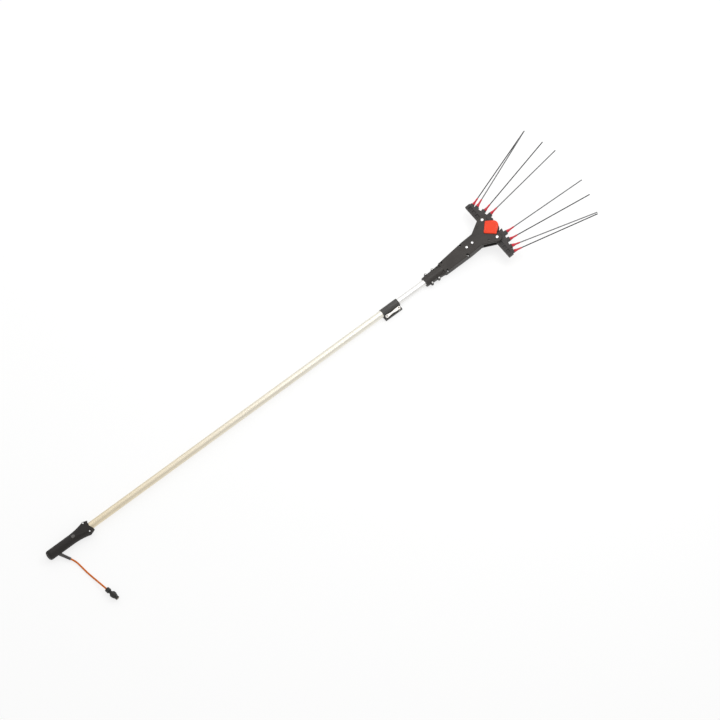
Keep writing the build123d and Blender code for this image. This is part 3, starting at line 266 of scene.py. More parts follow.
class HarvesterStage(bpy.types.PropertyGroup):
    """Camera, floor and light."""

    azimuth: angle_property("Azimuth", "Turn of the camera about the upright", -38.8)
    elevation: angle_property("Elevation", "Camera above the horizon", 65.0)
    distance: length_property("Distance", "Camera from the middle of the picture", 60.0)
    picture_width: length_property("Picture width", "Width that the picture shows at the object", 2.667)
    centre_right: length_property("Centre right", "Picture's middle, right of the handle's end", 1.1556)
    centre_up: length_property("Centre up", "Picture's middle, up from the handle's end", 0.7285)
    floor_tone: colour_property("Floor", "Pale floor", (0.90, 0.90, 0.895))
    floor_glow: strength_property("Floor glow", "Share of plain white in the visible floor", 0.70, max=1)
    floor_white: strength_property("Floor white", "Strength of that plain white", 1.08)
    sky_light: strength_property("Sky light", "Even light from all round", 0.62)
    gloss_dark: strength_property("Gloss, dark side", "Sky in gloss away from the key light", 0.74)
    gloss_bright: strength_property("Gloss, bright side", "Sky in gloss towards the key light", 0.60)
    key_power: strength_property("Key light", "Soft light from the left", 37.0, subtype="POWER")
    head_power: strength_property("Head light", "Soft light above the combs", 17.0, subtype="POWER")


PROPERTY_GROUPS = {
    "harvester_colours": HarvesterColours,
    "harvester_sizes": HarvesterSizes,
    "harvester_stage": HarvesterStage,
}


def colours():
    """The scene's colour settings."""
    return bpy.context.scene.harvester_colours


def sizes():
    """The scene's size settings."""
    return bpy.context.scene.harvester_sizes


# Shader building
def feed(tree, entry, value):
    """Link a socket to an input, or set the input to a plain value or colour."""
    if isinstance(value, bpy.types.NodeSocket):
        tree.links.new(value, entry)
    elif entry.type == "RGBA":
        entry.default_value = (*value, 1)
    else:
        entry.default_value = value


def add_node(tree, kind, inputs=None, **settings):
    """A new node with its settings, and its inputs linked or set."""
    node = tree.nodes.new(kind)
    for key, value in settings.items():
        setattr(node, key, value)
    for key, value in (inputs or {}).items():
        feed(tree, node.inputs[key], value)
    return node


def new_group(name, inputs, outputs):
    """A shader group with named sockets, and what comes in through them."""
    tree = bpy.data.node_groups.new(name, "ShaderNodeTree")
    for socket, default in inputs.items():
        kind = "NodeSocketVector" if default is None else "NodeSocketFloat"
        item = tree.interface.new_socket(name=socket, in_out="INPUT", socket_type=kind)
        if default is not None:
            item.default_value = default
    for socket in outputs:
        tree.interface.new_socket(name=socket, in_out="OUTPUT", socket_type="NodeSocketFloat")
    return tree, add_node(tree, "NodeGroupInput").outputs


def maths(tree, operation, first, second):
    """A maths node on two sockets or numbers."""
    return add_node(tree, "ShaderNodeMath", {0: first, 1: second}, operation=operation).outputs[0]


def ramp(tree, value, low, high, out_low=0.0, out_high=1.0):
    """A value stretched from one span to another and held at its ends."""
    spans = {"From Min": low, "From Max": high, "To Min": out_low, "To Max": out_high}
    return add_node(tree, "ShaderNodeMapRange", {"Value": value, **spans}).outputs["Result"]


def noise(tree, vector, scale, detail=3.0, roughness=0.55):
    """Noise between 0 and 1; scale is a number or a socket."""
    inputs = {"Vector": vector, "Scale": scale, "Detail": detail, "Roughness": roughness}
    return add_node(tree, "ShaderNodeTexNoise", inputs).outputs["Fac"]


def moulded_grain_group():
    """Spark-eroded grain of a moulding: fine pimples and slow changes of tone."""
    tree, entry = new_group("moulded_grain", {"Vector": None, "Scale": 900.0}, ("Height", "Tone"))
    vector, scale = entry["Vector"], entry["Scale"]
    fine = noise(tree, vector, scale, detail=4.0, roughness=0.6)
    pimples = add_node(tree, "ShaderNodeTexVoronoi", {"Vector": vector, "Scale": scale}).outputs["Distance"]
    height = maths(tree, "ADD", fine, maths(tree, "MULTIPLY", pimples, 0.5))
    slow = noise(tree, vector, maths(tree, "MULTIPLY", scale, 0.02), detail=3.0, roughness=0.6)
    add_node(tree, "NodeGroupOutput", {"Height": height, "Tone": ramp(tree, slow, 0.3, 0.7)})
    return tree


def worn_edge_group():
    """Mask that is 1 where an outer edge has been rubbed, broken up by noise; on the red cover it also
    paints a highlight along the rims.
    """
    tree, entry = new_group("worn_edges", {"Vector": None, "Radius": 0.0012, "Breakup": 160.0}, ("Mask",))
    rounded = add_node(tree, "ShaderNodeBevel", {"Radius": entry["Radius"]}, samples=4).outputs["Normal"]
    flat = add_node(tree, "ShaderNodeNewGeometry").outputs["Normal"]
    turned = add_node(tree, "ShaderNodeVectorMath", {0: rounded, 1: flat}, operation="DOT_PRODUCT")
    edge = ramp(tree, turned.outputs["Value"], 0.985, 0.80)
    spots = noise(tree, entry["Vector"], entry["Breakup"], detail=4.0, roughness=0.65)
    patches = ramp(tree, spots, 0.42, 0.66)
    add_node(tree, "NodeGroupOutput", {"Mask": maths(tree, "MULTIPLY", edge, patches)})
    return tree


def painted_hollow_shade_group():
    """Mask of painted shade: 1 in pockets and gaps that ambient occlusion finds shut in from light, broken
    up by noise.
    """
    tree, entry = new_group("painted_hollow_shade", {"Vector": None, "Reach": 0.008}, ("Mask",))
    reach = {"Distance": entry["Reach"]}
    open_sky = add_node(tree, "ShaderNodeAmbientOcclusion", reach, samples=6, only_local=True)
    occlusion_shade = ramp(tree, open_sky.outputs["AO"], 0.95, 0.68)
    patches = ramp(tree, noise(tree, entry["Vector"], 90.0), 0.2, 0.6, out_low=0.75)
    add_node(tree, "NodeGroupOutput", {"Mask": maths(tree, "MULTIPLY", occlusion_shade, patches)})
    return tree


def scuff_group():
    """Handling marks: smudges and fine scratches that cross the surface."""
    tree, entry = new_group("handling_scuffs", {"Vector": None, "Scale": 30.0}, ("Smudge", "Scratch"))
    vector, scale = entry["Vector"], entry["Scale"]
    smudge = ramp(tree, noise(tree, vector, scale, detail=5.0, roughness=0.62), 0.35, 0.75)
    stretch = {"Vector": vector, "Scale": (0.35, 9.0, 9.0), "Rotation": (0.2, 0.35, 0.5)}
    stretched = add_node(tree, "ShaderNodeMapping", stretch).outputs["Vector"]
    lines = noise(tree, stretched, scale, detail=2.0, roughness=0.5)
    add_node(tree, "NodeGroupOutput", {"Smudge": smudge, "Scratch": ramp(tree, lines, 0.64, 0.72)})
    return tree


def drawn_line_group():
    """Lines along X that drawing leaves on a tube, and faint clouds of tone."""
    scales = {"Across": 900.0, "Along": 4.0}
    tree, entry = new_group("drawn_lines", {"Vector": None, **scales}, ("Line", "Cloud"))
    parts = add_node(tree, "ShaderNodeSeparateXYZ", {0: entry["Vector"]}).outputs
    ways = {"X": "Along", "Y": "Across", "Z": "Across"}
    scaled = {axis: maths(tree, "MULTIPLY", parts[axis], entry[way]) for axis, way in ways.items()}
    stretched = add_node(tree, "ShaderNodeCombineXYZ", scaled).outputs["Vector"]
    line = noise(tree, stretched, 1.0, detail=5.0, roughness=0.65)
    cloud = noise(tree, entry["Vector"], 14.0, detail=4.0, roughness=0.6)
    add_node(tree, "NodeGroupOutput", {"Line": line, "Cloud": ramp(tree, cloud, 0.3, 0.7)})
    return tree


GROUP_MAKERS = {
    "moulded_grain": moulded_grain_group,
    "worn_edges": worn_edge_group,
    "painted_hollow_shade": painted_hollow_shade_group,
    "handling_scuffs": scuff_group,
    "drawn_lines": drawn_line_group,
}


def place_group(tree, name, vector, **values):
    """A shared effect placed in a material with its own values."""
    group = bpy.data.node_groups.get(name) or GROUP_MAKERS[name]()
    return add_node(tree, "ShaderNodeGroup", {"Vector": vector, **values}, node_tree=group).outputs


def mix_colours(tree, factor, first, second, share=1.0):
    """A colour between two, each a socket or a plain colour; a share below 1 weakens the factor."""
    if share < 1:
        factor = maths(tree, "MULTIPLY", factor, share)
    return add_node(tree, "ShaderNodeMix", {0: factor, 6: first, 7: second}, data_type="RGBA").outputs[2]


def shade(colour, factor, white=0.0):
    """A colour made darker or lighter, with some white added."""
    return tuple(min(1.0, channel * factor + white) for channel in colour)


def tones(tree, factor, colour, low, high):
    """A colour that goes from one shade of it to another."""
    return mix_colours(tree, factor, shade(colour, low), shade(colour, high))


def new_material(name, inputs, coordinate="Object"):
    """A material with some plain inputs on its shader, and the coordinates that its patterns read."""
    material = bpy.data.materials.new(name)
    material.use_nodes = True
    tree = material.node_tree
    shader = tree.nodes["Principled BSDF"]
    for key, value in inputs.items():
        feed(tree, shader.inputs[key], value)
    return material, tree, shader, add_node(tree, "ShaderNodeTexCoord").outputs[coordinate]


def dress(tree, shader, colour, gloss, height, strength, distance):
    """Give a shader its colour, its roughness and a small relief."""
    relief = add_node(tree, "ShaderNodeBump", {"Height": height, "Strength": strength, "Distance": distance})
    for key, value in (("Base Color", colour), ("Roughness", gloss), ("Normal", relief.outputs["Normal"])):
        feed(tree, shader.inputs[key], value)


def moulded(name, colour, roughness=0.52, grain=900.0, relief=0.5, wear=2.2, specular=0.42):
    """Moulded plastic: eroded grain, slow changes of tone, rubbed edges, painted shade in hollows and
    scuffs.
    """
    material, tree, shader, where = new_material(name, {"Specular IOR Level": specular})
    grains = place_group(tree, "moulded_grain", where, Scale=grain)
    scuffs = place_group(tree, "handling_scuffs", where, Scale=26.0)
    edges = place_group(tree, "worn_edges", where, Radius=0.0011)
    hollows = place_group(tree, "painted_hollow_shade", where)
    body = tones(tree, grains["Tone"], colour, 0.86, 1.14)
    # Painted shade: hollows that the occlusion mask finds are darkened towards a third of the colour.
    shaded_body = mix_colours(tree, hollows["Mask"], body, shade(colour, 0.3), share=0.9)
    rubbed = mix_colours(tree, edges["Mask"], shaded_body, shade(colour, wear), share=0.7)
    scratched = mix_colours(tree, scuffs["Scratch"], rubbed, shade(colour, wear), share=0.22)
    gloss = ramp(tree, scuffs["Smudge"], 0.0, 1.0, roughness + 0.07, roughness - 0.06)
    dress(tree, shader, scratched, gloss, grains["Height"], strength=relief, distance=0.00012)
    return material


def drawn_tube(name, colour, roughness, painted_light_colour=None, span=(0.0, 1.0)):
    """Anodised drawn aluminium: lines along the tube, clouds and rub marks; it may pale along a span, which
    is painted light.
    """
    material, tree, shader, where = new_material(name, {"Metallic": 1.0})
    lines = place_group(tree, "drawn_lines", where)
    scuffs = place_group(tree, "handling_scuffs", where, Scale=18.0)
    body = tones(tree, lines["Cloud"], colour, 0.965, 1.025)
    # Painted light: the tone pales along X over the span, standing in for brighter light at the far end.
    if painted_light_colour:
        along = add_node(tree, "ShaderNodeSeparateXYZ", {0: where}).outputs["X"]
        body = mix_colours(tree, ramp(tree, along, *span), body, painted_light_colour)
    streaked = mix_colours(tree, ramp(tree, lines["Line"], 0.35, 0.7, 0.0, 0.3), body, shade(colour, 0.93))
    marked = mix_colours(tree, scuffs["Scratch"], streaked, shade(colour, 0.82), share=0.3)
    gloss = maths(tree, "ADD", ramp(tree, lines["Line"], 0.3, 0.7, roughness - 0.05, roughness + 0.07),
                  maths(tree, "MULTIPLY", scuffs["Smudge"], 0.06))
    dress(tree, shader, marked, gloss, lines["Line"], strength=0.12, distance=0.00006)
    return material


def plated_steel(name, colour, roughness=0.24):
    """Plated or ground metal: clouded plating with fine scratches and duller patches."""
    material, tree, shader, where = new_material(name, {"Metallic": 1.0})
    scuffs = place_group(tree, "handling_scuffs", where, Scale=130.0)
    body = tones(tree, scuffs["Smudge"], colour, 0.9, 1.06)
    marked = mix_colours(tree, scuffs["Scratch"], body, shade(colour, 0.72), share=0.35)
    gloss = ramp(tree, scuffs["Smudge"], 0.0, 1.0, roughness + 0.1, roughness)
    dress(tree, shader, marked, gloss, scuffs["Scratch"], strength=0.15, distance=0.00005)
    return material


def cast_alloy(name, colour, roughness=0.36):
    """Tumbled casting: peened skin, and brighter, smoother rubbed edges."""
    material, tree, shader, where = new_material(name, {"Metallic": 1.0})
    grains = place_group(tree, "moulded_grain", where, Scale=620.0)
    edges = place_group(tree, "worn_edges", where, Radius=0.0014, Breakup=220.0)
    body = tones(tree, grains["Tone"], colour, 0.88, 1.0)
    bright = mix_colours(tree, edges["Mask"], body, shade(colour, 1.1))
    gloss = ramp(tree, edges["Mask"], 0.0, 1.0, roughness + 0.08, roughness - 0.12)
    dress(tree, shader, bright, gloss, grains["Height"], strength=0.35, distance=0.00015)
    return material


def gloss_moulding(name, colour, roughness=0.38, coat=0.06, edge_fade=0.38):
    """Glossy coloured moulding: slight ripple, paler edges that are partly rubbed and partly a painted
    highlight, and dulled patches.
    """
    skin = {"Specular IOR Level": 0.2, "Coat Weight": coat, "Coat Roughness": 0.18}
    material, tree, shader, where = new_material(name, skin)
    grains = place_group(tree, "moulded_grain", where, Scale=340.0)
    edges = place_group(tree, "worn_edges", where, Radius=0.0016, Breakup=120.0)
    scuffs = place_group(tree, "handling_scuffs", where, Scale=34.0)
    body = tones(tree, grains["Tone"], colour, 0.93, 1.04)
    # Painted highlight and wear: edges pale towards a whitened colour; a large edge_fade makes it a painted
    # highlight along the rims.
    rubbed = mix_colours(tree, edges["Mask"], body, shade(colour, 0.6, white=0.32), share=edge_fade)
    gloss = ramp(tree, scuffs["Smudge"], 0.0, 1.0, roughness + 0.08, roughness - 0.04)
    dress(tree, shader, rubbed, gloss, grains["Height"], strength=0.12, distance=0.0001)
    return material


def sheath(name, colour, roughness=0.45, specular=0.4):
    """Flexible rubber or sheath: powdery bloom, extrusion ripple and a soft sheen."""
    skin = {"Specular IOR Level": specular, "Sheen Weight": 0.05}
    material, tree, shader, where = new_material(name, skin)
    grains = place_group(tree, "moulded_grain", where, Scale=1300.0)
    scuffs = place_group(tree, "handling_scuffs", where, Scale=60.0)
    body = tones(tree, grains["Tone"], colour, 0.88, 1.1)
    dusty = mix_colours(tree, scuffs["Smudge"], body, shade(colour, 0.8, white=0.03), share=0.3)
    gloss = ramp(tree, scuffs["Smudge"], 0.0, 1.0, roughness - 0.05, roughness + 0.12)
    dress(tree, shader, dusty, gloss, grains["Height"], strength=0.3, distance=0.0001)
    return material


def carbon_rod(name, colour, roughness=0.34):
    """Pultruded carbon: fibre streaks along the rod, under a thin resin skin."""
    skin = {"Specular IOR Level": 0.3, "Coat Weight": 0.1, "Coat Roughness": 0.2}
    material, tree, shader, where = new_material(name, skin, "UV")
    stretched = add_node(tree, "ShaderNodeMapping", {"Vector": where, "Scale": (70.0, 2.5, 1.0)})
    fibre = noise(tree, stretched.outputs["Vector"], 1.0, detail=6.0, roughness=0.7)
    patches = noise(tree, where, 9.0, detail=3.0, roughness=0.6)
    body = tones(tree, ramp(tree, fibre, 0.3, 0.7), colour, 0.55, 1.5)
    rubbed = mix_colours(tree, ramp(tree, patches, 0.5, 0.75, 0.0, 0.5), body, shade(colour, 1.9))
    gloss = ramp(tree, fibre, 0.3, 0.7, roughness - 0.08, roughness + 0.1)
    dress(tree, shader, rubbed, gloss, fibre, strength=0.2, distance=0.00008)
    return material


def lacquered_board(name):
    """Circuit board: green lacquer over paler tracks, with tinned pads."""
    material, tree, shader, where = new_material(name, {"Coat Weight": 0.5, "Roughness": 0.35})
    bricks = {"Vector": where, "Scale": 160.0, "Mortar Size": 0.035, **BOARD_GREENS}
    tracks = add_node(tree, "ShaderNodeTexBrick", bricks).outputs["Color"]
    pads = add_node(tree, "ShaderNodeTexVoronoi", {"Vector": where, "Scale": 260.0}).outputs["Distance"]
    tinned = ramp(tree, pads, 0.16, 0.1)
    feed(tree, shader.inputs["Base Color"], mix_colours(tree, tinned, tracks, TINNED_PAD))
    feed(tree, shader.inputs["Metallic"], tinned)
    return material


def give_finish(piece, material):
    """Give a piece one finish."""
    piece.data.materials.clear()
    piece.data.materials.append(material)


def paint(material, *names):
    """Give a finish to solids by their names."""
    for name in names:
        give_finish(nodes[name], material)


# Modelling helpers
def add_object(name, data):
    """A new object in the scene."""
    piece = bpy.data.objects.new(name, data)
    bpy.context.scene.collection.objects.link(piece)
    return piece


def choose(piece, *others):
    """Select one object and perhaps others, and make the first the active one."""
    bpy.ops.object.select_all(action="DESELECT")
    for other in (piece, *others):
        other.select_set(True)
    bpy.context.view_layer.objects.active = piece


def pick(piece, kind, test):
    """In edit mode, select only the faces or edges that pass a test on their middle and direction."""
    bpy.ops.object.mode_set(mode="EDIT")
    bpy.ops.mesh.select_mode(type=kind)
    bpy.ops.mesh.select_all(action="DESELECT")
    bpy.ops.object.mode_set(mode="OBJECT")
    mesh = piece.data
    if kind == "FACE":
        for face in mesh.polygons:
            face.select = test(face.center, face.normal)
    else:
        for edge in mesh.edges:
            ends = [mesh.vertices[index].co for index in edge.vertices]
            edge.select = test((ends[0] + ends[1]) / 2, (ends[1] - ends[0]).normalized())
    bpy.ops.object.mode_set(mode="EDIT")


def apply_modifier(piece, kind, **settings):
    """Add a modifier with its settings and apply it."""
    choose(piece)
    modifier = piece.modifiers.new(kind.lower(), kind)
    for key, value in settings.items():
        setattr(modifier, key, value)
    bpy.ops.object.modifier_apply(modifier=modifier.name)


def combine(piece, other, operation):
    """Unite a piece with another, cut it by the other or keep what both share."""
    apply_modifier(piece, "BOOLEAN", object=other, operation=operation, solver="EXACT")


def settle(piece, name, body, material, node):
    """Name a finished piece, give it its finish and body, and hide the solid that it stands for."""
    piece.name = name
    piece.data.name = name
    give_finish(piece, material)
    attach(piece, body)
    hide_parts(node)
    return piece


def join_pieces(pieces):
    """One object made of several."""
    choose(*pieces)
    bpy.ops.object.join()
    return bpy.context.object


def place_copies(pattern, places):
    """One object made of copies of a pattern, each moved into place; the pattern goes."""
    copies = []
    for place in places:
        copy = add_object(pattern.name, pattern.data.copy())
        copy.data.transform(place)
        copies.append(copy)
    bpy.data.objects.remove(pattern)
    return join_pieces(copies)


def upright_along(origin, direction):
    """Matrix that stands local Z along a direction at a point."""
    return Matrix.Translation(origin) @ direction.to_track_quat("Z", "Y").to_matrix().to_4x4()


def add_rod(sides, radius, depth, place):
    """Upright cylinder with its place in its mesh."""
    bpy.ops.object.select_all(action="DESELECT")
    bpy.ops.mesh.primitive_cylinder_add(vertices=sides, radius=radius, depth=depth, location=place)
    bpy.ops.object.transform_apply(location=True)
    return bpy.context.object


def add_block(place, lengths):
    """Box with its place and lengths in its mesh."""
    bpy.ops.object.select_all(action="DESELECT")
    bpy.ops.mesh.primitive_cube_add(size=1, location=place)
    block = bpy.context.object
    block.scale = lengths
    bpy.ops.object.transform_apply(location=True, scale=True)
    return block


def add_line(name, places, radius, steps, rounding):
    """Smooth round line led by points, with its steps between points and the rounding of its section."""
    line = bpy.data.curves.new(name, "CURVE")
    line.dimensions = "3D"
    spline = line.splines.new("NURBS")
    spline.points.add(len(places) - 1)
    for point, place in zip(spline.points, places):
        point.co = (*place, 1)
    spline.order_u = 3
    spline.use_endpoint_u = True
    spline.resolution_u = steps
    line.bevel_depth = radius
    line.bevel_resolution = rounding
    line.use_fill_caps = True
    return add_object(name, line)


def join_faces(reach):
    """On the active piece, merge points that lie within reach, and flat neighbouring faces."""
    bpy.ops.object.mode_set(mode="EDIT")
    bpy.ops.mesh.select_all(action="SELECT")
    bpy.ops.mesh.remove_doubles(threshold=reach)
    bpy.ops.mesh.dissolve_limited(angle_limit=FLAT_ANGLE)
    bpy.ops.object.mode_set(mode="OBJECT")


def round_edges(piece, width, segments, angle, clamp=True):
    """Round a piece's edges that are sharper than an angle."""
    apply_modifier(piece, "BEVEL", width=width, segments=segments, limit_method="ANGLE", angle_limit=angle,
                   use_clamp_overlap=clamp)


def smooth_flats(piece):
    """Shade the rounded edges smooth and leave the large faces flat."""
    choose(piece)
    bpy.ops.object.shade_smooth_by_angle(angle=SMOOTH_ANGLE)
    apply_modifier(piece, "WEIGHTED_NORMAL", keep_sharp=True)


def soften(node, width, material, cutter=None, tight=False):
    """Copy of a solid with its sharp edges rounded, which stands for it.

    A cutter is taken away first. On a tight shape the rounding shrinks to the room that it has.
    """
    piece = add_object(node, nodes[node].data.copy())
    choose(piece)
    bpy.ops.mesh.customdata_custom_splitnormals_clear()
    join_faces(LEVEL_REACH)
    if cutter:
        combine(piece, cutter, "DIFFERENCE")
        join_faces(SLIVER_REACH)
    round_edges(piece, width, EDGE_STEPS, SHARP_ANGLE, tight)
    smooth_flats(piece)
    return settle(piece, f"{node}_soft", nodes[node]["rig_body"], material, node)


def islands(node):
    """Points of each separate solid in a node."""
    mesh = bmesh.new()
    mesh.from_mesh(nodes[node].data)
    bmesh.ops.remove_doubles(mesh, verts=mesh.verts, dist=COPY_REACH)
    left = set(mesh.verts)
    found = []
    while left:
        front = [left.pop()]
        solid = list(front)
        while front:
            corner = front.pop()
            for edge in corner.link_edges:
                other = edge.other_vert(corner)
                if other in left:
                    left.remove(other)
                    front.append(other)
                    solid.append(other)
        found.append([vert.co.copy() for vert in solid])
    mesh.free()
    return found


def turned_sizes(points, axis):
    """Line and sizes of a headed screw: foot point, length, head radius, head height and shank radius."""
    heights = [point.dot(axis) for point in points]
    low, high = min(heights), max(heights)
    flat = [point - axis * height for point, height in zip(points, heights)]
    top = [place for place, height in zip(flat, heights) if height > high - LEVEL_REACH]
    centre = sum(top, Vector()) / len(top)
    radii = [(place - centre).length for place in flat]
    head_r = max(radii)
    head_low = min(height for height, radius in zip(heights, radii) if radius > head_r * RIM_SHARE)
    shank_r = max(radius for height, radius in zip(heights, radii) if height < low + LEVEL_REACH)
    return centre + axis * low, high - low, head_r, high - head_low, shank_r


def rod_ends(node):
    """Middles of the two ends of a straight round rod, the end with the smaller x first."""
    points = [vertex.co for vertex in nodes[node].data.vertices]
    rough = (max(points, key=lambda p: p.x) - min(points, key=lambda p: p.x)).normalized()
    along = [point.dot(rough) for point in points]
    reach = 0.002
    back = [point for point, place in zip(points, along) if place < min(along) + reach]
    front = [point for point, place in zip(points, along) if place > max(along) - reach]
    return sum(back, Vector()) / len(back), sum(front, Vector()) / len(front)


def add_screw(length, head_r, head_h, shank_r, recess):
    """Headed screw standing on the origin: domed head with a drive recess, and a pointed shank."""
    shank = length - head_h
    screw = add_rod(sizes().screw_sides, head_r, head_h, (0, 0, shank + head_h / 2))
    pick(screw, "FACE", lambda centre, normal: normal.z < -ALONG)
    bpy.ops.mesh.inset(thickness=head_r - shank_r)
    bpy.ops.mesh.extrude_region_move(TRANSFORM_OT_translate={"value": (0, 0, -shank)})
    bpy.ops.object.mode_set(mode="OBJECT")
    pick(screw, "EDGE", lambda centre, along: centre.z > length - LEVEL_REACH)
    bpy.ops.mesh.bevel(offset=head_h * DOME_SHARE, segments=DOME_STEPS, profile=DOME_PROFILE, affect="EDGES")
    bpy.ops.object.mode_set(mode="OBJECT")
    pick(screw, "EDGE", lambda centre, along: centre.z < LEVEL_REACH)
    bpy.ops.mesh.bevel(offset=shank_r * POINT_SHARE, segments=1, affect="EDGES")
    bpy.ops.object.mode_set(mode="OBJECT")
    cut_recess(screw, length, head_r, recess)
    choose(screw)
    bpy.ops.object.shade_smooth_by_angle(angle=SCREW_SMOOTH_ANGLE)
    return screw


def cut_recess(screw, top, head_r, recess):
    """Cut a hexagon or a cross into a screw's head."""
    height = 2 * sizes().socket_depth
    if recess == "hexagon":
        cutter = add_rod(6, head_r * HEXAGON_SHARE, height, (0, 0, top))
        turns = (0.0,)
    else:
        cross = (head_r * CROSS_LENGTH_SHARE, head_r * CROSS_WIDTH_SHARE, height)
        cutter = add_block((0, 0, top), cross)
        turns = (0.0, math.pi / 2)
    for turn in turns:
        cutter.data.transform(Matrix.Rotation(turn, 4, "Z"))
        combine(screw, cutter, "DIFFERENCE")
    bpy.data.objects.remove(cutter)


def screw_set(node, axis, body, recess, finish):
    """Detailed screws that stand for a node of plain ones."""
    places = []
    for points in islands(node):
        foot, length, head_r, head_h, shank_r = turned_sizes(points, axis)
        key = (round(length, LEVEL_DIGITS), round(head_h, LEVEL_DIGITS))
        places.append((key, foot, head_r, shank_r))
    pieces = []
    for key in sorted({place[0] for place in places}):
        same = [place for place in places if place[0] == key]
        pattern = add_screw(key[0], same[0][2], key[1], same[0][3], recess)
        pieces.append(place_copies(pattern, [upright_along(place[1], axis) for place in same]))
    return settle(join_pieces(pieces), f"{node}_detailed", body, finish, node)


class HARVESTER_OT_pole(bpy.types.Operator):
    """Finish the tubes and curl the lead inside the pole"""

    bl_idname = "harvester.pole"
    bl_label = "Pole"

    def execute(self, context):
        span = (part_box("handle_top_shell")[1].x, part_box("clamp_collar")[0].x)
        # The outer tube pales from the handle to the clamp: painted light.
        champagne = drawn_tube("champagne_tube", colours().champagne, roughness=0.50,
                               painted_light_colour=colours().champagne_painted_light, span=span)
        paint(champagne, "outer_tube")
        paint(drawn_tube("silver_tube", colours().silver, roughness=0.46), "inner_tube")
        paint(moulded("guide_black", INNER_BLACK), "tube_guide")
        rubber = sheath("lead_black", LEAD_BLACK)
        paint(rubber, "head_lead")
        self.curl(rubber)
        return {"FINISHED"}

    def curl(self, rubber):
        """Curly lead that stretches between the handle and the inner tube."""
        low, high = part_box("coiled_lead")
        wire_r = sizes().curl_wire / 2
        turn_r = (high.y - low.y) / 2 - wire_r
        length = high.x - low.x - 2 * wire_r
        steps = sizes().curl_steps
        count = round(length / sizes().curl_pitch) * steps
        middle = (low + high) / 2
        places = []
        for index in range(count + 1):
            angle = 2 * math.pi * index / steps
            x = low.x + wire_r + length * index / count
            places.append((x, middle.y + turn_r * math.cos(angle), middle.z + turn_r * math.sin(angle)))
        choose(add_line("curly_lead", places, wire_r, steps=1, rounding=2))
        bpy.ops.object.convert(target="MESH")
        lead = bpy.context.object
        bpy.ops.object.shade_smooth()
        give_finish(lead, rubber)
        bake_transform(lead)
        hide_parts("coiled_lead")


class HARVESTER_OT_handle(bpy.types.Operator):
    """Finish the handle, its button and what is inside it"""

    bl_idname = "harvester.handle"
    bl_label = "Handle"

    def execute(self, context):
        edge = sizes().fine_edge
        black = moulded("handle_black", colours().handle_black, roughness=0.56, grain=760.0, relief=0.7,
                        wear=2.6, specular=0.36)
        grey = moulded("button_grey", colours().button_grey, roughness=0.6, grain=1400.0, relief=0.4,
                       wear=1.3)
        scoop = self.scoop()
        soften("handle_top_shell", edge, black, scoop)
        soften("handle_bottom_shell", edge, black, scoop)
        bpy.data.objects.remove(scoop)
        soften("handle_end_cap", edge, black)
        paint(grey, "button")
        paint(moulded("switch_black", INNER_BLACK), "switch_housing")
        paint(lacquered_board("lacquered_board"), "control_board")
        return {"FINISHED"}

    def scoop(self):
        """Upright cutter that hollows the handle's mouth round the tube."""
        size = sizes()
        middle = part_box("handle_top_shell")[1].x + size.mouth_radius - size.mouth_depth
        return add_rod(size.mouth_sides, size.mouth_radius, THROUGH, (middle, 0, 0))


class HARVESTER_OT_supply_lead(bpy.types.Operator):
    """Lay the supply lead and finish its boot and plug"""

    bl_idname = "harvester.supply_lead"
    bl_label = "Supply lead"

    def execute(self, context):
        paint(sheath("boot_rubber", colours().rubber_black, roughness=0.5), "cord_boot")
        black = moulded("plug_black", colours().plug_black, roughness=0.46, grain=700.0, wear=2.4)
        plug = soften("plug_body", sizes().plug_edge, black)
        paint(plated_steel("turned_brass", CONTACT_BRASS), "plug_contacts")
        handle_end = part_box("handle_end_cap")[0].x
        diameter = sizes().cord_diameter
        route = [(handle_end + x, y, z) for x, y, z in CORD_ROUTE]
        lead = add_line("supply_lead", route, diameter / 2, steps=24, rounding=6)
        orange = sheath("lead_orange", colours().lead_orange, roughness=0.5, specular=0.15)
        settle(lead, "supply_lead", "grip", orange, "supply_cord")
        return {"FINISHED"}


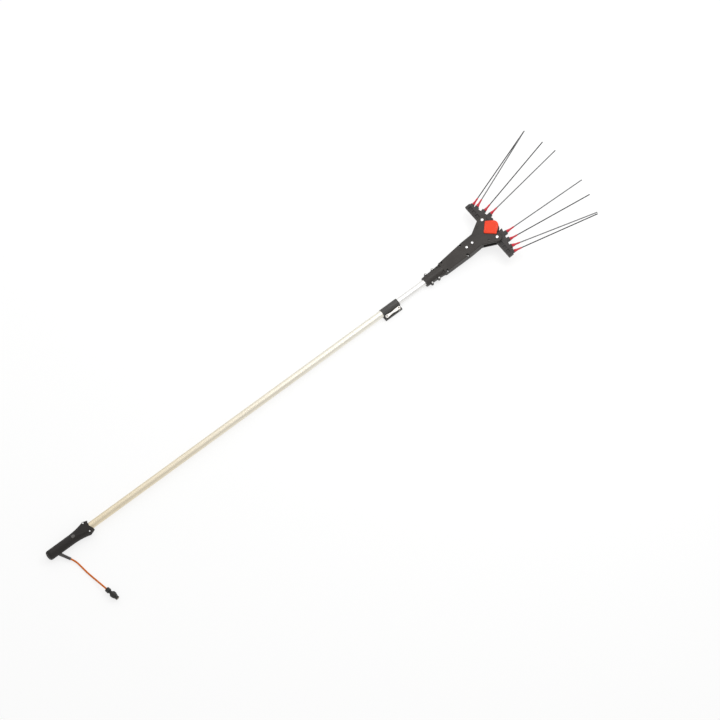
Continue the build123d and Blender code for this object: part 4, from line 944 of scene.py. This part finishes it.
class HARVESTER_OT_clamp(bpy.types.Operator):
    """Finish the pole clamp and model its lever"""

    bl_idname = "harvester.clamp"
    bl_label = "Clamp"

    def execute(self, context):
        black = moulded("clamp_black", colours().clamp_black, roughness=0.5, grain=820.0)
        soften("clamp_collar", sizes().clamp_edge, black, tight=True)
        self.lever(cast_alloy("lever_casting", colours().cast_alloy))
        paint(plated_steel("pin_steel", colours().black_oxide, roughness=0.34), "clamp_lever_pin")
        paint(sheath("pad_rubber", INNER_BLACK), "clamp_pad")
        return {"FINISHED"}

    def lever(self, material):
        """Cast lever with an eye, a waisted shank and a fork round the pin."""
        size = sizes()
        sides = size.lever_sides
        low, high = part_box("clamp_lever")
        points = [vertex.co for vertex in nodes["clamp_lever"].data.vertices]
        levels = sorted({round(point.z, LEVEL_DIGITS) for point in points})
        slot_low, slot_high = levels[1:3]
        half = (high.y - low.y) / 2
        middle = (low.y + high.y) / 2
        eye_x, pin_x = low.x + half, high.x - half
        height = high.z - low.z
        shank_h = height * SHANK_HEIGHT_SHARE
        shank_z = high.z - shank_h / 2
        lever = add_rod(sides, half, height, (pin_x, middle, (low.z + high.z) / 2))
        eye = add_rod(sides, half, shank_h, (eye_x, middle, shank_z))
        shank = add_block(((eye_x + pin_x) / 2, middle, shank_z),
                          (pin_x - eye_x, SHANK_WIDTH_SHARE * half, shank_h))
        self.waist(shank, eye_x, pin_x, middle)
        slot = add_block((pin_x + half, middle, (slot_low + slot_high) / 2),
                         (SLOT_SHARE * half, SLOT_SHARE * half, slot_high - slot_low))
        hole = add_rod(sides, size.lever_eye, THROUGH, (eye_x, middle, high.z))
        bore = add_rod(sides, size.lever_bore, THROUGH, (pin_x, middle, high.z))
        for operation, others in (("UNION", (eye, shank)), ("DIFFERENCE", (slot, hole, bore))):
            for other in others:
                combine(lever, other, operation)
                bpy.data.objects.remove(other)
        round_edges(lever, size.lever_edge, LEVER_EDGE_STEPS, LEVER_SHARP_ANGLE)
        bpy.ops.object.shade_smooth_by_angle(angle=SMOOTH_ANGLE)
        settle(lever, "clamp_lever_cast", "clamp_lever", material, "clamp_lever")

    def waist(self, shank, eye_x, pin_x, middle):
        """Narrow the lever's shank between its eye and its pin."""
        length = pin_x - eye_x
        waist_x = eye_x + length * WAIST_STEP / SHANK_STEPS
        bpy.ops.object.mode_set(mode="EDIT")
        bpy.ops.mesh.select_all(action="SELECT")
        bpy.ops.mesh.subdivide(number_cuts=SHANK_STEPS - 1)
        bpy.ops.object.mode_set(mode="OBJECT")
        pick(shank, "EDGE",
             lambda centre, along: abs(centre.x - waist_x) < SLIVER_REACH and abs(along.x) < ACROSS)
        bpy.ops.transform.resize(value=(1, WAIST_SHARE, 1), center_override=(waist_x, middle, 0),
                                 use_proportional_edit=True, proportional_edit_falloff="SMOOTH",
                                 proportional_size=length * WAIST_REACH_SHARE)
        bpy.ops.object.mode_set(mode="OBJECT")


class HARVESTER_OT_head(bpy.types.Operator):
    """Finish the head's shells and the red cover on its fork"""

    bl_idname = "harvester.head"
    bl_label = "Head"

    def execute(self, context):
        edge = sizes().head_edge
        black = moulded("head_black", colours().head_black, roughness=0.5, grain=800.0, relief=0.6)
        # The cover's high edge_fade paints a highlight along its rims, over the rubbed wear.
        red = gloss_moulding("cover_red", colours().cover_red, edge_fade=0.8)
        self.add_sills(soften("head_top_shell", edge, black))
        soften("head_bottom_shell", edge, black, tight=True)
        soften("head_cover", sizes().fine_edge, red)
        return {"FINISHED"}

    def add_sills(self, shell):
        """Sills outside the screws on the body's left, each taken from the shell beside its screw."""
        size = sizes()
        fork_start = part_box("crown_wheel")[1].x
        seats = []
        for points in islands("shell_screws"):
            foot, length, _, head_h, _ = turned_sizes(points, head_up)
            if foot.x < fork_start and foot.y > 0:
                seats.append(foot + head_up * (length - head_h))
        middle = sum(seats, Vector()) / len(seats)
        turn = Matrix((head_ahead, TO_LEFT, head_up)).transposed().to_4x4()
        block = Vector((size.sill_span, size.sill_span, size.sill_height + size.sill_root))
        for seat in seats:
            step = (head_ahead + TO_LEFT * BODY_FLARE) * math.copysign(size.sill_step, middle.x - seat.x)
            centre = seat + step + TO_LEFT * (size.sill_reach + block.y / 2)
            centre += head_up * (size.sill_height - size.sill_root) / 2
            sill = add_block((0, 0, 0), block)
            sill.data.transform(Matrix.Translation(centre) @ turn)
            combine(sill, shell, "INTERSECT")
            sill.data.transform(Matrix.Translation(-step - TO_LEFT * size.sill_sink))
            combine(shell, sill, "UNION")
            bpy.data.objects.remove(sill)
        smooth_flats(shell)


class HARVESTER_OT_fasteners(bpy.types.Operator):
    """Model the screws and bolts and finish the nuts and washers"""

    bl_idname = "harvester.fasteners"
    bl_label = "Fasteners"

    def execute(self, context):
        zinc = plated_steel("bright_zinc", colours().bright_zinc)
        dull = plated_steel("dull_zinc", colours().dull_zinc, roughness=0.34)
        dark = plated_steel("fork_screws", colours().black_oxide, roughness=0.34)
        screw_set("handle_screws", WORLD_UP, "grip", "cross", zinc)
        screw_set("neck_screws", WORLD_UP, "head", "cross", dull)
        shell = screw_set("shell_screws", head_up, "head", "cross", zinc)
        shell.data.materials.append(dark)
        fork_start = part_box("crown_wheel")[1].x
        for face in shell.data.polygons:
            face.material_index = int(face.center.x > fork_start)
        screw_set("centre_bolts", head_up, "head", "hexagon", zinc)
        screw_set("comb_pivot_bolts", head_up, "head", "hexagon", zinc)
        paint(zinc, "pivot_nuts", "thrust_washers")
        return {"FINISHED"}


class HARVESTER_OT_combs(bpy.types.Operator):
    """Finish the comb bars, their bushes and pins, and the red tine holders"""

    bl_idname = "harvester.combs"
    bl_label = "Combs"

    def execute(self, context):
        black = moulded("comb_black", colours().comb_black, roughness=0.48, grain=780.0, relief=0.6,
                        wear=3.4)
        red = gloss_moulding("holder_red", colours().holder_red, roughness=0.42, coat=0.05)
        brass = plated_steel("bush_brass", BUSH_BRASS, roughness=0.3)
        steel = plated_steel("rod_pin_steel", colours().bright_zinc)
        for hand in ("left", "right"):
            soften(f"comb_bar_{hand}", sizes().fine_edge, black)
            paint(red, f"tine_holders_{hand}")
            paint(brass, f"comb_bush_{hand}")
            paint(steel, f"rod_pin_{hand}")
        return {"FINISHED"}


class HARVESTER_OT_tines(bpy.types.Operator):
    """Model the carbon tines with rounded tips"""

    bl_idname = "harvester.tines"
    bl_label = "Tines"

    def execute(self, context):
        dark = carbon_rod("carbon_dark", colours().carbon)
        lit_carbon = carbon_rod("carbon_lit", colours().carbon_lit)
        for hand in ("left", "right"):
            for index in range(1, TINE_COUNT + 1):
                # Painted light: the upper tines get the lighter copy of the carbon.
                upper = index % 2 == 1
                self.tine(hand, index, lit_carbon if upper else dark, "carbon_rod_grey" if upper else "carbon_rod")
        return {"FINISHED"}

    def tine(self, hand, index, material, slot):
        """One tine along its solid, with both ends rounded."""
        node = f"tine_{hand}_{index}"
        back, front = rod_ends(node)
        length = (front - back).length
        radius = max((vertex.co - back).cross((front - back).normalized()).length
                     for vertex in nodes[node].data.vertices)
        rod = add_rod(sizes().tine_sides, radius, length, (0, 0, length / 2))
        pick(rod, "EDGE", lambda centre, along: abs(along.z) < ACROSS)
        bpy.ops.mesh.bevel(offset=sizes().tine_tip, segments=TIP_STEPS, profile=0.5, affect="EDGES")
        bpy.ops.object.mode_set(mode="OBJECT")
        bpy.ops.object.shade_smooth_by_angle(angle=TINE_SMOOTH_ANGLE)
        rod.data.transform(upright_along(back, front - back))
        settle(rod, f"{node}_rod", f"comb_{hand}", material, node)


class HARVESTER_OT_drive(bpy.types.Operator):
    """Finish the motor, gears and rods inside the head"""

    bl_idname = "harvester.drive"
    bl_label = "Drive"

    def execute(self, context):
        paint(plated_steel("motor_can", MOTOR_STEEL, roughness=0.32), "motor")
        paint(cast_alloy("carrier_casting", CARRIER_ALLOY), "gear_carrier", "rod_left", "rod_right")
        paint(plated_steel("gear_steel", GEAR_STEEL), "crown_wheel", "drive_pinion")
        return {"FINISHED"}


class HARVESTER_OT_stage(bpy.types.Operator):
    """Set the floor, the soft light and the camera"""

    bl_idname = "harvester.stage"
    bl_label = "Stage"

    def execute(self, context):
        stage = context.scene.harvester_stage
        self.floor(stage)
        self.sky(context, stage)
        self.lamp("key_light", *KEY_BOX, stage.key_power)
        self.lamp("head_light", *HEAD_BOX, stage.head_power)
        self.camera(context, stage)
        context.scene.view_settings.view_transform = "Standard"
        return {"FINISHED"}

    def ray_kinds(self, tree):
        """1 for rays from the camera, and 1 for those in gloss and glass."""
        path = add_node(tree, "ShaderNodeLightPath").outputs
        gloss = maths(tree, "MAXIMUM", path["Is Glossy Ray"], path["Is Transmission Ray"])
        return path["Is Camera Ray"], gloss

    def floor(self, stage):
        """Pale floor that keeps the shadow and is near white to the camera."""
        bpy.ops.object.select_all(action="DESELECT")
        bpy.ops.mesh.primitive_plane_add(size=FLOOR_WIDTH)
        floor = bpy.context.object
        floor.name = "floor"
        material = bpy.data.materials.new("pale_floor")
        material.use_nodes = True
        tree = material.node_tree
        tree.nodes.remove(tree.nodes["Principled BSDF"])
        matt = add_node(tree, "ShaderNodeBsdfDiffuse", {"Color": stage.floor_tone}).outputs[0]
        white = {"Color": WHITE, "Strength": stage.floor_white}
        glow = add_node(tree, "ShaderNodeEmission", white).outputs[0]
        seen = maths(tree, "MAXIMUM", *self.ray_kinds(tree))
        share = maths(tree, "MULTIPLY", seen, stage.floor_glow)
        blend = add_node(tree, "ShaderNodeMixShader", {0: share, 1: matt, 2: glow}).outputs[0]
        feed(tree, tree.nodes["Material Output"].inputs["Surface"], blend)
        floor.data.materials.append(material)

    def sky(self, context, stage):
        """White sky: plain light on the object, white to the camera and uneven in gloss."""
        world = bpy.data.worlds.new("studio")
        context.scene.world = world
        world.use_nodes = True
        tree = world.node_tree
        way = add_node(tree, "ShaderNodeTexCoord").outputs["Generated"]
        lean = add_node(tree, "ShaderNodeVectorMath", {0: way, 1: KEY_SIDE}, operation="DOT_PRODUCT")
        in_gloss = ramp(tree, lean.outputs["Value"], -0.6, 0.9, stage.gloss_dark, stage.gloss_bright)
        camera_ray, gloss_ray = self.ray_kinds(tree)
        plain = maths(tree, "MAXIMUM", camera_ray, stage.sky_light)
        strength = add_node(tree, "ShaderNodeMix", {0: gloss_ray, 2: plain, 3: in_gloss}, data_type="FLOAT")
        background = tree.nodes["Background"].inputs
        feed(tree, background["Color"], WHITE)
        feed(tree, background["Strength"], strength.outputs[0])

    def lamp(self, name, place, target, size, power):
        """Square soft box that looks at a target."""
        data = bpy.data.lights.new(name, "AREA")
        data.size = size
        data.energy = power
        lamp = add_object(name, data)
        lamp.location = place
        lamp.rotation_euler = (Vector(target) - Vector(place)).to_track_quat("-Z", "Y").to_euler()

    def camera(self, context, stage):
        """Long lens from above the right of the handle."""
        turn, rise = stage.azimuth, stage.elevation
        back = Vector((math.sin(turn) * math.cos(rise), -math.cos(turn) * math.cos(rise), math.sin(rise)))
        right = Vector((math.cos(turn), math.sin(turn), 0))
        up = back.cross(right)
        low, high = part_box("handle_end_cap")
        start = Vector((low.x, 0, (low.z + high.z) / 2))
        target = start + right * stage.centre_right + up * stage.centre_up
        data = bpy.data.cameras.new("camera")
        data.lens = data.sensor_width * stage.distance / stage.picture_width
        camera = add_object("camera", data)
        camera.location = target + back * stage.distance
        camera.rotation_euler = (-back).to_track_quat("-Z", "Y").to_euler()
        context.scene.camera = camera


class HARVESTER_PT_panel(bpy.types.Panel):
    """Buttons and settings of the harvester"""

    bl_idname = "HARVESTER_PT_panel"
    bl_label = "Olive harvester"
    bl_space_type = "VIEW_3D"
    bl_region_type = "UI"
    bl_category = "Harvester"

    def draw(self, context):
        for operator in OPERATORS:
            self.layout.operator(operator.bl_idname)
        for name, group in PROPERTY_GROUPS.items():
            box = self.layout.box()
            for setting in group.__annotations__:
                box.prop(getattr(context.scene, name), setting)


OPERATORS = (
    HARVESTER_OT_stage,
    HARVESTER_OT_supply_lead,
    HARVESTER_OT_pole,
    HARVESTER_OT_handle,
    HARVESTER_OT_clamp,
    HARVESTER_OT_head,
    HARVESTER_OT_fasteners,
    HARVESTER_OT_combs,
    HARVESTER_OT_tines,
    HARVESTER_OT_drive,
)
CLASSES = (*PROPERTY_GROUPS.values(), *OPERATORS, HARVESTER_PT_panel)


def register():
    """Add the classes and the scene's settings."""
    for cls in CLASSES:
        bpy.utils.register_class(cls)
    for name, group in PROPERTY_GROUPS.items():
        setattr(bpy.types.Scene, name, PointerProperty(type=group))


def unregister():
    """Take the settings and the classes away."""
    for name in PROPERTY_GROUPS:
        delattr(bpy.types.Scene, name)
    for cls in reversed(CLASSES):
        bpy.utils.unregister_class(cls)


def main():
    """Run every operator."""
    register()
    for operator in OPERATORS:
        group, action = operator.bl_idname.split(".")
        getattr(getattr(bpy.ops, group), action)()


if __name__ == "__main__":
    main()
